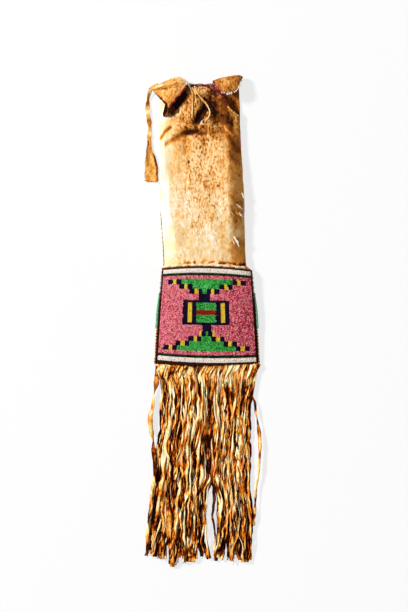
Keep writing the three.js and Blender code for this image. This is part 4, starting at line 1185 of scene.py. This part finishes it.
def makeMouthEdging():
    rng = np.random.default_rng(edging["seed"])
    front = newBatch()
    path = rimPoints(*edging["frontRim"], edging["frontPoints"])
    out = np.cross(np.broadcast_to((0.0, 0.0, 1.0), path.shape), unit(np.gradient(path, axis=0)))
    edgeBeads(front, path + out * 0.0012, out, rng, 0.42)
    makePiece("frontRimEdging", front, beadMaterials["rose"], "edging_beads", "front_rim_edging")
    back = newBatch()
    ends = [(mouthShift + side * edging["backReach"], backRim + 0.0003, 0.0026) for side in (-1, 1)]
    line = np.linspace(*ends, edging["backPoints"])
    line[:, 1] += 0.0007 * np.sin(np.arange(edging["backPoints"]) * 1.4)
    edgeBeads(back, line, np.broadcast_to((0.0, 1.0, 0.0), line.shape), rng, 0.36)
    makePiece("backRimEdging", back, beadMaterials["rose"], "edging_beads", "back_rim_edging")
    for kind in earEdging:
        fold, edge = earEdges[kind["ear"]]
        picks = slice(*[int(share * len(edge)) for share in kind["stretch"]])
        path = edge[picks]
        along = unit(np.gradient(path, axis=0))
        out = path - fold[picks]
        out = unit(out - along * (out * along).sum(1, keepdims=True))
        stand = smooth(np.linspace(0, 1, len(path))[:, None], 0.5, 0.8)
        path = path + kind["rise"] * stand * np.array((0.1, 0.0, 1.0))  # over the curled side of the ear
        batch = newBatch()
        edgeBeads(batch, path + out * 0.0014, out, rng, kind["tone"], kind["size"], kind["ragged"])
        makePiece(kind["piece"], batch, beadMaterials[kind["glass"]], kind["slot"], kind["node"])


makeMouthEdging()

rimRoll = {"from": 0.85, "to": 0.985, "radius": 0.0014, "points": 40, "lift": 0.0008}


def makeRimRoll():  # the front rim turned over, right of its edging
    path = rimPoints(rimRoll["from"], rimRoll["to"], rimRoll["points"])
    path[:, 2] += rimRoll["lift"]
    share = np.arange(rimRoll["points"])
    batch = newBatch()
    radius = rimRoll["radius"] * (1 + 0.2 * np.sin(share * 0.9) + 0.1 * np.sin(share * 2.3))
    loft(batch, tubeRings(path, radius, 10), 0.60 + 0.10 * np.sin(share * 0.6))
    makePiece("frontRimRoll", batch, thongMaterial, "hide")


makeRimRoll()

sideEdging = {
    "top": 0.039, "bottom": -0.022, "radius": 0.0019, "pitch": 0.0016, "gap": 0.0006, "seed": 31,
    "beads": 5, "beadRadius": 0.0008, "beadLength": 0.0019, "turn": (-35, 150),
}


def sideLine(side, top, bottom, count, gap):
    y = np.linspace(top, bottom, count)
    return np.stack([side * (bodyHalf(y) + gap), y, bodySide(y)], axis=1)


def makeSideEdging(name, side):
    rng = np.random.default_rng(sideEdging["seed"])
    batch = newBatch()
    count = int((sideEdging["top"] - sideEdging["bottom"]) / sideEdging["pitch"])
    gap = sideEdging["radius"] + sideEdging["gap"]
    line = sideLine(side, sideEdging["top"], sideEdging["bottom"], count, gap)
    along = unit(np.gradient(line, axis=0))
    stand = blend(0.5, 1.1, smooth(np.arange(count) / count, 0.0, 0.6))[:, None]  # it starts low and swells
    line[:, 0] -= side * sideEdging["radius"] * (1 - stand[:, 0]) * 0.9
    for k in range(sideEdging["beads"]):
        turned = k / (sideEdging["beads"] - 1)  # from under the edge to its inner side
        a = math.radians(blend(*sideEdging["turn"], turned))
        out = np.array((side * math.cos(a), 0.0, math.sin(a)))
        around = np.array((-side * math.sin(a), 0.0, math.cos(a)))
        centres = line + out * sideEdging["radius"] * stand
        tone = np.clip(rng.normal(blend(1.0, 0.05, turned), 0.2, count), 0, 1)
        axes = np.broadcast_to(around, centres.shape) + 0.2 * along
        normals = np.broadcast_to(out, centres.shape)
        layBeads(batch, centres, axes, normals, sideEdging["beadRadius"], sideEdging["beadLength"], tone)
    makePiece(name + "GreenEdging", batch, beadMaterials["teal"], "teal_beads", name + "_green_edging")


welt = {"seed": 41, "points": 70, "radius": 0.00145, "gap": 0.0021, "tone": {-1: 0.40, 1: 0.62}}


def makeWelt(name, side):  # the hide seam edge below the green edging, lumpy from its stitches
    rng = np.random.default_rng(welt["seed"])
    line = sideLine(side, sideEdging["bottom"] - 0.0003, bodyBottom, welt["points"], welt["gap"])
    share = np.arange(len(line))
    line[:, 0] += side * 0.0004 * np.sin(share * 1.3)
    radius = welt["radius"] * (1 + 0.16 * np.sin(share * 2.1) + 0.10 * rng.normal(0, 1, len(line)))
    batch = newBatch()
    tone = welt["tone"][side] + 0.34 * np.sin(share * 1.05) + 0.12 * rng.normal(0, 1, len(line))
    loft(batch, tubeRings(line, radius, 10), np.clip(tone, 0, 1))
    makePiece(name + "SideWelt", batch, thongMaterial, "hide", name + "_side_welt")


for name, side in (("left", -1), ("right", 1)):
    makeSideEdging(name, side)
    makeWelt(name, side)


# Stitching: dark sinew along the panel's sides, the lower hem and the neck's left seam

stitching = {
    "seed": 51, "points": 90, "step": 0.0042, "thread": 0.00045, "seamTop": 0.182, "seamPoints": 70,
}


def stitch(batch, a, b, rise, radius):
    share = np.linspace(0, 1, 7)
    path = np.asarray(a)[None] * (1 - share[:, None]) + np.asarray(b)[None] * share[:, None]
    path[:, 2] += rise * np.sin(np.pi * share)
    loft(batch, tubeRings(path, radius * (0.75 + 0.25 * np.sin(np.pi * share)), 6))


def makeStitching():
    rng = np.random.default_rng(stitching["seed"])
    count = stitching["points"]
    wave = np.arange(count)
    batch = newBatch()
    for side in (-1, 1):
        y = np.linspace(panelTop - 0.001, -panelTop, count)
        x, py = onPanel(side * panelMiddleHalf, y)
        path = overFront(x - side * 0.0004, py, 0.0014)
        path[:, 0] += side * 0.0003 * np.sin(wave * 0.9)
        sinew = 0.0011 + 0.0003 * np.sin(wave * 0.6) * np.sin(wave * 0.23)
        loft(batch, tubeRings(path, sinew, 8))
        outer = sideLine(side, panelTop - 0.003, bodyBottom, count, 0.0006)
        outer[:, 2] += 0.0010
        heavy = blend(0.0013, 0.0005, smooth(outer[:, 1], 0.005, 0.035)) * (1 + 0.2 * np.sin(wave * 1.2))
        loft(batch, tubeRings(outer, heavy, 8))  # the sewn side edge
        for row in np.arange(panelTop - 0.004, -panelTop, -stitching["step"]):
            x, py = onPanel(side * panelMiddleHalf, row + rng.normal(0, 0.0006))
            start = overFront(x - side * 0.0012, py, 0.0026)
            end = np.array((side * (bodyHalf(py) + 0.0026), py - 0.0014, bodySide(py) + 0.0006))
            stitch(batch, start, end, 0.0010, stitching["thread"])
    across = np.linspace(-0.97, 0.97, count)
    heavy = blend(0.0033, 0.0014, smooth(across, -0.4, 0.8)) * (1 + 0.12 * np.sin(wave * 0.7))
    x, y = onPanel(across * panelMiddleHalf, -panelTop - heavy)
    hem = overFront(x, np.maximum(y, bodyBottom))
    hem[:, 1] += np.minimum(y - bodyBottom, 0)
    loft(batch, tubeRings(hem, heavy, 8))  # the sewn lower edge
    y = np.linspace(stitching["seamTop"], panelTop + 0.004, stitching["seamPoints"])
    seam = overFront(bodyShift(y) - bodyHalf(y) + 0.0009, y, 0.0004)
    seam[:, 0] += 0.0003 * np.sin(np.arange(stitching["seamPoints"]) * 1.1)
    loft(batch, tubeRings(seam, 0.0007, 6))
    makePiece("sideStitching", batch, threadMaterial, "hide")


makeStitching()


# Hem lip of the neck, over the head of the beadwork

lip = {"width": 0.005, "thickness": 0.0022, "clearance": 0.0010, "points": 150, "seed": 61}


def lipLine(up):
    across = np.linspace(-1, 1, lip["points"])
    middle = panelTop + bag["lipGroove"]
    x = bodyShift(middle) + across * bodyHalf(middle + lip["width"]) * 0.97
    flatX = x * panelMiddleHalf / panelHalf(panelTop)
    y = onPanel(flatX, panelTop)[1] + bag["lipGroove"] + up
    return x, y


def makeLip():
    rng = np.random.default_rng(lip["seed"])
    batch = newBatch()
    x, y = lipLine(lip["width"] / 2)
    wave = np.arange(len(x))
    y = y + 0.0004 * np.sin(wave * 0.31) + 0.0003 * np.sin(wave * 0.83 + 1)
    line = overFront(x, y, lip["clearance"] + lip["thickness"] / 2 - 0.0003)
    wide = lip["width"] * (0.78 + 0.12 * np.sin(wave * 0.52) + 0.05 * rng.normal(0, 1, len(x)))
    tone = np.clip(0.80 + 0.10 * np.sin(wave * 0.4) + 0.06 * rng.normal(0, 1, len(x)), 0, 1)
    loft(batch, ribbonRings(line, wide, lip["thickness"], 0.0, -0.22), tone)
    makePiece("neckHemLip", batch, thongMaterial, "hide", "neck_hem_lip")


makeLip()


# Drawstring: one thong over the rim, down the front, in at one slit and out at the other

drawstring = {
    "width": 0.0025, "thickness": 0.0013, "points": 60, "tornPoints": 12, "tornThickness": 0.0012,
    # a place with no height lies on the hide, and one below 0 goes in at a slit
    "left": [(-0.0335, 0.0100, 0.0335), (-0.0265, 0.0060, 0.0348), (-0.0205, 0.0000, 0.0325),
             (-0.0150, -0.011, None), (-0.0125, -0.021, None), (-0.0130, -0.040, None),
             (-0.0134, -0.053, None), (-0.0136, -0.0625, -0.0035)],
    "right": [(-0.0090, -0.004, 0.0265), (-0.0070, -0.010, None), (-0.0030, -0.018, None),
              (0.0055, -0.029, None), (0.0125, -0.037, None), (0.0174, -0.048, None),
              (0.0160, -0.057, None), (0.0100, -0.066, None), (0.0066, -0.0745, -0.0035)],
    "ends": [((0.0022, -0.0725), (0.0040, -0.0640), 0.0036), ((0.0085, -0.0705), (0.0098, -0.0630), 0.0022)],
    "toTail": [(-0.002, -0.0010, 0.0155), (-0.0085, -0.0035, 0.0130), (-0.0135, -0.0062, 0.0108),
               (-0.0165, -0.0092, 0.0092)],
    "toTailPoints": 24, "lift": 0.0016,
}


def thongPath(points, count):
    route = []
    for x, y, z in points:
        px, py = mouthShift + x, backRim + y
        base = float(frontZ(np.array(px), np.array(py)))
        if z is None:
            z = base + drawstring["lift"]
        elif z < 0:
            z = base + z
        route.append((px, py, z))
    return smoothPath(route, count)


def makeDrawstring():
    batch = newBatch()
    for points, phase in ((drawstring["left"], 0.0), (drawstring["right"], 1.7)):
        path = thongPath(points, drawstring["points"])
        share = np.linspace(0, 1, drawstring["points"])
        turn = 0.35 * np.sin(share * 7 + phase) + 0.12 * np.sin(share * 19)
        wide = drawstring["width"] * (0.9 + 0.14 * np.sin(share * 15 + phase))
        tone = np.clip(0.72 + 0.10 * np.sin(share * 9 + phase) - 0.25 * smooth(share, 0.8, 1.0), 0, 1)
        loft(batch, ribbonRings(path, wide, drawstring["thickness"], turn, 0.25), tone)
    for (ax, ay), (bx, by), wide in drawstring["ends"]:  # torn bits that stand out of the slits
        share = np.linspace(0, 1, drawstring["tornPoints"])
        path = overFront(mouthShift + blend(ax, bx, share), backRim + blend(ay, by, share))
        path[:, 2] -= 0.0030 * (1 - share)
        breadth = wide * np.sin(np.pi * (0.15 + 0.7 * share))
        loft(batch, ribbonRings(path, breadth, drawstring["tornThickness"], -0.3, 0.2), 0.93)
    path = smoothPath(np.array(drawstring["toTail"]) + leftCorner, drawstring["toTailPoints"])
    loft(batch, ribbonRings(path, tail["width"] * tail["spread"], tail["thickness"], 0.2, 0.22), 0.66)
    makePiece("drawstringThong", batch, thongMaterial, "hide", "drawstring")


makeDrawstring()


# Side lacing: short pale ends of a thong in the right seam, and torn bits under the left ear

sideLaces = {  # two ends, width and tone of each flake of torn thong
    "upper": [((0.0612, 0.2144), (0.0648, 0.2039), 0.0024, 0.95),
              ((0.0520, 0.1936), (0.0632, 0.1862), 0.0026, 0.97),
              ((0.0566, 0.1796), (0.0632, 0.1713), 0.0022, 0.95),
              ((0.0420, 0.1815), (0.0475, 0.1738), 0.0016, 0.72)],
    "lower": [((0.0468, 0.1384), (0.0566, 0.1203), 0.0046, 0.97),
              ((0.0445, 0.1330), (0.0490, 0.1235), 0.0018, 0.80)],
}
flake = {"points": 16, "thickness": 0.0012, "lift": 0.0010, "bow": 0.0010}


def makeSideLaces():
    for name, ends in sideLaces.items():
        batch = newBatch()
        for number, (a, b, width, tone) in enumerate(ends):
            share = np.linspace(0, 1, flake["points"])
            x = blend(a[0], b[0], share)
            y = blend(a[1], b[1], share) + 0.0006 * np.sin(share * 5 + number)
            path = overFront(x, y, flake["lift"])
            path[:, 2] += flake["bow"] * np.sin(share * np.pi)
            wide = width * np.sin(np.pi * (0.06 + 0.88 * share)) * (1 + 0.25 * np.sin(share * 14 + number))
            loft(batch, ribbonRings(path, wide, flake["thickness"], -0.45, 0.2), tone)
        makePiece(name + "SideLace", batch, thongMaterial, "hide", name + "_side_lace")


makeSideLaces()

tatters = {  # three places along each bit, from the ear down, and its tone
    "bits": [((0.0125, -0.0360, 0.0300), (0.0095, -0.0470, 0.0270), (0.0075, -0.0570, 0.0200), 0.06),
             ((0.0155, -0.0395, 0.0295), (0.0165, -0.0480, 0.0265), (0.0150, -0.0570, 0.0245), 0.10),
             ((0.0175, -0.0370, 0.0290), (0.0235, -0.0440, 0.0262), (0.0285, -0.0490, 0.0245), 0.05),
             ((0.0150, -0.0390, 0.0288), (0.0130, -0.0490, 0.0255), (0.0125, -0.0580, 0.0225), 0.24),
             ((0.0170, -0.0395, 0.0285), (0.0205, -0.0480, 0.0255), (0.0220, -0.0560, 0.0245), 0.08)],
    "width": 0.0076, "thickness": 0.0014, "points": 22,
}


def makeTatters():
    batch = newBatch()
    for number, (a, b, c, tone) in enumerate(tatters["bits"]):
        path = smoothPath(np.array((a, b, c)) + leftCorner, tatters["points"])
        share = np.linspace(0, 1, tatters["points"])
        wide = tatters["width"] * (0.6 + 0.4 * np.sin(share * 3)) * (1 - 0.4 * share ** 3)
        turn = 0.8 * np.sin(share * 4 + number)
        loft(batch, ribbonRings(path, wide, tatters["thickness"], turn, 0.3), tone)
    makePiece("earTatters", batch, thongMaterial, "hide")


makeTatters()


# Fringe: thongs cut from two strips of hide, twisted and matted by wear

fringe = {
    "rootY": bodyBottom + 0.001, "steps": 80, "thickness": 0.0014, "seed": 71, "inset": 0.002,
    "partAt": 0.0195, "partEdge": 0.0010, "partReach": 0.022, "strayTone": 0.55, "strayWidths": (1.3, 2.1),
    "blotch": 0.70, "fine": 0.38, "edgeShade": 0.32, "toneRange": (-0.20, 1.12), "endDark": 0.16,
    "lieRange": (-0.0012, 0.0034), "lieMiddle": 0.0011, "ripple": 0.0018, "curl": (0.15, 0.45),
    "floorGap": 0.0004,
    "sway": 0.0040, "kinks": ((16, 0.0012), (34, 0.0007)),  # number of small bends, and how far they reach
    "swells": ((0.45, 0.028), (0.35, 0.010)),  # how much the width changes, and over what length
    # how far the left and right ends of the row wander along their length
    "leftShift": [(0, 0.0), (0.05, 0.0030), (0.10, 0.0110), (0.22, 0.0120), (0.34, 0.0095), (0.42, 0.0025),
                  (0.56, -0.0025), (0.69, -0.0080), (0.78, -0.0120), (0.95, -0.0170), (1, -0.0185)],
    "rightShift": [(0, -0.0030), (0.08, -0.0090), (0.25, -0.0140), (0.6, -0.0145), (0.8, -0.0100),
                   (1, -0.0125)],
    # places across where thongs end together, and how long they are there
    "tips": [(-0.105, 0.334), (-0.0945, 0.337), (-0.0788, 0.345), (-0.0604, 0.3565), (-0.0368, 0.3485),
             (-0.021, 0.345), (-0.003, 0.340), (0.0095, 0.3435), (0.0193, 0.3415), (0.042, 0.345),
             (0.0578, 0.3435), (0.069, 0.3485)],
}
fringeLayers = [  # lie and root are heights; what lies high is painted lighter and what lies low darker, as wear and painted shade, and what lies flat is painted lighter, as painted light
    # the back layer painted near black: painted shade under the front thongs
    {"name": "backFringe", "node": "back_fringe", "count": 58, "lie": 0.0022, "root": 0.0030,
     "wide": 0.0085, "sizes": (0.85, 1.15), "twist": 0.12, "drift": 0.0012, "part": 0.0118,
     "tone": 0.02, "spread": 0.08, "edgeLightShadeAndWear": 0.10, "wearAndShade": 0.0, "paintedFaceUpLight": 0.0},
    {"name": "frontFringe", "node": "front_fringe", "count": 80, "lie": 0.0062, "root": 0.0080,
     "wide": 0.0039, "sizes": (0.4, 0.6, 0.8, 1.0, 1.2, 1.8), "twist": 1.0, "drift": 0.0030, "part": 0.0105,
     "tone": 0.66, "spread": 0.20, "edgeLightShadeAndWear": 0.44, "wearAndShade": 60.0, "paintedFaceUpLight": 0.55},
]
strays = [  # single thongs that bow out beside the rest
    [(0.0838, -0.0875), (0.0849, -0.1024), (0.0798, -0.1304), (0.0789, -0.1426), (0.0838, -0.1523),
     (0.0857, -0.1689), (0.0889, -0.1864), (0.0919, -0.2091), (0.0929, -0.2319), (0.0917, -0.2529),
     (0.0896, -0.2809), (0.0861, -0.3001), (0.0854, -0.3194), (0.0840, -0.3421), (0.0826, -0.3684)],
    [(-0.0865, -0.0880), (-0.0880, -0.1050), (-0.0894, -0.1199), (-0.0935, -0.1374), (-0.0964, -0.1636),
     (-0.0999, -0.1776), (-0.0985, -0.1986), (-0.0954, -0.2109), (-0.0935, -0.2284), (-0.0928, -0.2700),
     (-0.0962, -0.3229), (-0.1030, -0.3840), (-0.1072, -0.4180)],
]
wideEnds = [  # uncut strips at the tips: middle of the end, upper and lower end, width, lean, tone
    (0.0665, -0.330, -0.4330, 0.0150, 0.0040, 0.30), (-0.0280, -0.390, -0.4325, 0.0110, 0.0010, 0.34),
    (-0.0385, -0.375, -0.4300, 0.0085, 0.0040, 0.50), (0.0035, -0.390, -0.4270, 0.0090, 0.0060, 0.26),
    (-0.0770, -0.350, -0.4275, 0.0100, -0.0040, 0.52), (-0.0604, -0.395, -0.4412, 0.0062, 0.0, 0.56),
    (0.0430, -0.395, -0.4305, 0.0062, 0.0, 0.58), (0.0200, -0.380, -0.4255, 0.0070, -0.0020, 0.62),
]
mats = [  # wider matted strips, laid out as the ends are
    (-0.0761, -0.268, -0.328, 0.0120, 0.0020, 0.60), (-0.0674, -0.322, -0.409, 0.0130, 0.0010, 0.40),
    (-0.0350, -0.262, -0.314, 0.0110, 0.0030, 0.58), (-0.0280, -0.315, -0.398, 0.0150, 0.0020, 0.12),
    (-0.0061, -0.274, -0.328, 0.0095, 0.0020, 0.42), (0.0210, -0.280, -0.314, 0.0075, -0.0020, 0.88),
    (0.0385, -0.322, -0.372, 0.0115, 0.0010, 0.42), (0.0670, -0.308, -0.344, 0.0135, 0.0, 0.22),
    (0.0420, -0.364, -0.394, 0.0120, 0.0, 0.15), (-0.0508, -0.347, -0.400, 0.0095, 0.0020, 0.50),
    (0.0009, -0.090, -0.130, 0.0105, 0.0010, 0.62), (-0.0341, -0.108, -0.139, 0.0075, 0.0, 0.90),
    (-0.0850, -0.226, -0.272, 0.0085, 0.0010, 0.50), (0.0300, -0.120, -0.165, 0.0080, 0.0010, 0.55),
    (-0.0580, -0.170, -0.225, 0.0090, 0.0020, 0.38), (0.0150, -0.190, -0.240, 0.0085, 0.0010, 0.45),
]
leftShift = through(fringe["leftShift"])
rightShift = through(fringe["rightShift"])


def strandTone(rng, layer, run, tone):  # blotches along a strip; one edge painted paler and the other darker, as light and shade on a curled strip with some wear, and both edges painted darker, as shade between thongs
    blotch = lumps(np.full(len(run), rng.uniform(0, 90)), run, 1.0, 0.021, 5.0)
    fine = lumps(np.full(len(run), rng.uniform(0, 90)), run, 1.0, 0.0055, 5.0)
    tone = tone + fringe["blotch"] * (smooth(blotch, -0.30, 0.30) - 0.5) + fringe["fine"] * fine
    cut = layer["edgeLightShadeAndWear"] * np.sin(run / 0.030 * rng.uniform(0.5, 1.5) + rng.uniform(0, 6.3))
    # both edges painted darker: painted shade between thongs
    edges = cut[:, None] * ribbonAcross[None, :] ** 3 - fringe["edgeShade"] * ribbonAcross[None, :] ** 4
    return np.clip(tone[:, None] + edges, *fringe["toneRange"])


def kinks(rng, share, count):  # a bent line with random turns
    at = np.linspace(0, 1, count + 1) + np.r_[0, rng.uniform(-0.3, 0.3, count - 1) / count, 0]
    return through(list(zip(at, rng.normal(0, 1, count + 1))))(share)


def strand(batch, rng, root, layer, path=None, strayWidth=1.0):
    share = np.linspace(0, 1, fringe["steps"])
    place = (root / bodyHalf(bodyBottom) + 1) / 2
    free = root + blend(leftShift(1.0), rightShift(1.0), place)
    tip = min(fringe["tips"], key=lambda known: abs(known[0] - free))
    length = tip[1] - 0.25 * abs(tip[0] - free) + rng.normal(-0.004, 0.005)
    run = share * length
    grow = smooth(run, 0.0, 0.06)
    x = root + blend(leftShift(share), rightShift(share), place)
    x = x + (tip[0] - free) * 0.6 * smooth(share, 0.78, 1.0)
    x = x + rng.uniform(0.001, 0.008) * (1 - smooth(run, 0.0, 0.024))
    x = x + fringe["sway"] * grow * lumps(np.full(len(run), root), run, 0.017, 0.075, layer["lie"] * 900)
    beside = (root - fringe["partAt"]) / fringe["partEdge"]
    near = np.exp(-((root - fringe["partAt"]) / fringe["partReach"]) ** 2)
    opened = smooth(share, 0.56, 0.70) * (1 - 0.5 * smooth(share, 0.93, 1.0))
    x = x + layer["part"] * np.tanh(beside) * near * opened
    drift = layer["drift"] * (1 - 0.8 * near * smooth(share, 0.46, 0.60))
    for bends, reach in ((5, drift), *fringe["kinks"]):
        x = x + grow * reach * kinks(rng, share, bends)
    y = fringe["rootY"] - run
    if path is not None:
        line = smoothPath(path, fringe["steps"])
        x, y = line[:, 0], line[:, 1]
        run = fringe["rootY"] - y
    turn = rng.uniform(-0.5, 0.5) + grow * rng.uniform(-1, 1) * 12 * share * layer["twist"]
    turn = turn + grow * layer["twist"] * 0.9 * kinks(rng, share, 9)
    breadth = layer["wide"] * rng.choice(layer["sizes"]) * np.ones(len(run))
    for swing, pace in fringe["swells"]:
        breadth = breadth * (1 + swing * lumps(np.full(len(run), rng.uniform(0, 90)), run, 1.0, pace, 2.0))
    breadth = breadth * (1 - 0.30 * smooth(share, 0.98, 1.0))
    lie = layer["lie"] + rng.uniform(*fringe["lieRange"])
    z = blend(layer["root"], lie, smooth(run, 0.004, 0.05))
    z = z + grow * fringe["ripple"] * np.sin(run / 0.045 + rng.uniform(0, 6))
    curl = rng.uniform(*fringe["curl"])
    tone = layer["tone"] + rng.normal(0, layer["spread"])
    # what lies low painted darker, as painted shade, and what lies high lighter, as wear
    tone = tone + layer["wearAndShade"] * (z - layer["lie"] - fringe["lieMiddle"])
    tone = tone - fringe["endDark"] * smooth(share, 0.60, 0.90)
    # a thong lying flat painted lighter: painted light
    tone = tone + layer["paintedFaceUpLight"] * (np.abs(np.cos(turn)) - 0.66)
    if path is not None:
        tone = np.full(len(run), fringe["strayTone"])
        breadth = layer["wide"] * strayWidth * breadth / breadth.mean()
    lowest = fringe["floorGap"] + fringe["thickness"] / 2 + (np.abs(np.sin(turn)) + 0.6 * curl) * breadth / 2
    z = np.maximum(z, lowest)
    rings = ribbonRings(np.stack([x, y, z], axis=1), breadth, fringe["thickness"], turn, curl)
    loft(batch, rings, strandTone(rng, layer, run, tone))


strip = {"steps": 30, "height": 0.0088, "fall": 0.0024, "floorGap": 0.0012, "sway": 0.0012, "curl": 0.2}


def makeWideStrips(batch, rng, layer):
    for number, (middle, top, bottom, wide, lean, tone) in enumerate(wideEnds + mats):
        share = np.linspace(0, 1, strip["steps"])
        run = share * (top - bottom)
        x = middle - lean * (1 - share) + strip["sway"] * np.sin(share * 5 + rng.uniform(0, 6))
        spread = smooth(share, 0.0, 0.7)
        if number >= len(wideEnds):
            spread = smooth(share, 0.0, 0.4) * (1 - smooth(share, 0.6, 1.0))
        breadth = wide * blend(0.35, 1.0, spread) * (1 + 0.10 * np.sin(run / 0.009 + rng.uniform(0, 6)))
        turn = 0.5 * np.sin(run / 0.030 + rng.uniform(0, 6)) * (1 - 0.6 * share)
        lowest = strip["floorGap"] + (np.abs(np.sin(turn)) + 0.15) * breadth / 2
        z = np.maximum(strip["height"] - strip["fall"] * share, lowest)
        line = np.stack([x, top - run, z], axis=1)
        rings = ribbonRings(line, breadth, fringe["thickness"], turn, strip["curl"])
        loft(batch, rings, strandTone(rng, layer, run, np.full(len(share), tone)))


leaves = {
    "count": 34, "points": 18, "long": (0.014, 0.032), "wide": (0.0042, 0.0080), "slant": (0.004, 0.014),
    "thickness": 0.0012, "height": 0.0092, "below": 0.0014, "tone": 0.62, "spread": 0.16,
}


def makeLeaves(batch, rng, half, layer):  # short slanted ends and wider uncut bits at the head of the fringe
    roots = np.linspace(-half + 0.004, half - 0.003, leaves["count"])
    for root in roots + rng.normal(0, 0.0015, leaves["count"]):
        share = np.linspace(0, 1, leaves["points"])
        long = rng.uniform(*leaves["long"])
        slant = rng.uniform(*leaves["slant"])
        x = root + slant * (0.6 - share ** 0.8) + 0.0008 * np.sin(share * 6 + rng.uniform(0, 6))
        y = fringe["rootY"] - leaves["below"] - share * long
        z = leaves["height"] + 0.0010 * np.sin(share * 3) - 0.0015 * share + rng.uniform(-0.0006, 0.0008)
        wide = rng.uniform(*leaves["wide"]) * (1 - 0.75 * share ** 2.2)
        turn = rng.uniform(-0.6, 0.3) + rng.uniform(-1.2, 1.2) * share
        tone = np.full(len(share), rng.normal(leaves["tone"], leaves["spread"]))
        tone = strandTone(rng, layer, share * long, tone)
        loft(batch, ribbonRings(np.stack([x, y, z], axis=1), wide, leaves["thickness"], turn, 0.3), tone)


def makeFringe():
    rng = np.random.default_rng(fringe["seed"])
    half = bodyHalf(bodyBottom) - fringe["inset"]
    for layer in fringeLayers:
        batch = newBatch()
        roots = np.linspace(-half, half, layer["count"]) + rng.normal(0, 0.0007, layer["count"])
        for root in roots:
            strand(batch, rng, root, layer)
        if layer["name"] == "frontFringe":
            for path, strayWidth in zip(strays, fringe["strayWidths"]):
                strand(batch, rng, path[0][0], layer, path, strayWidth)
            makeWideStrips(batch, rng, layer)
            makeLeaves(batch, rng, half, layer)
        makePiece(layer["name"], batch, fringeMaterial, "fringe_hide", layer["node"])


makeFringe()
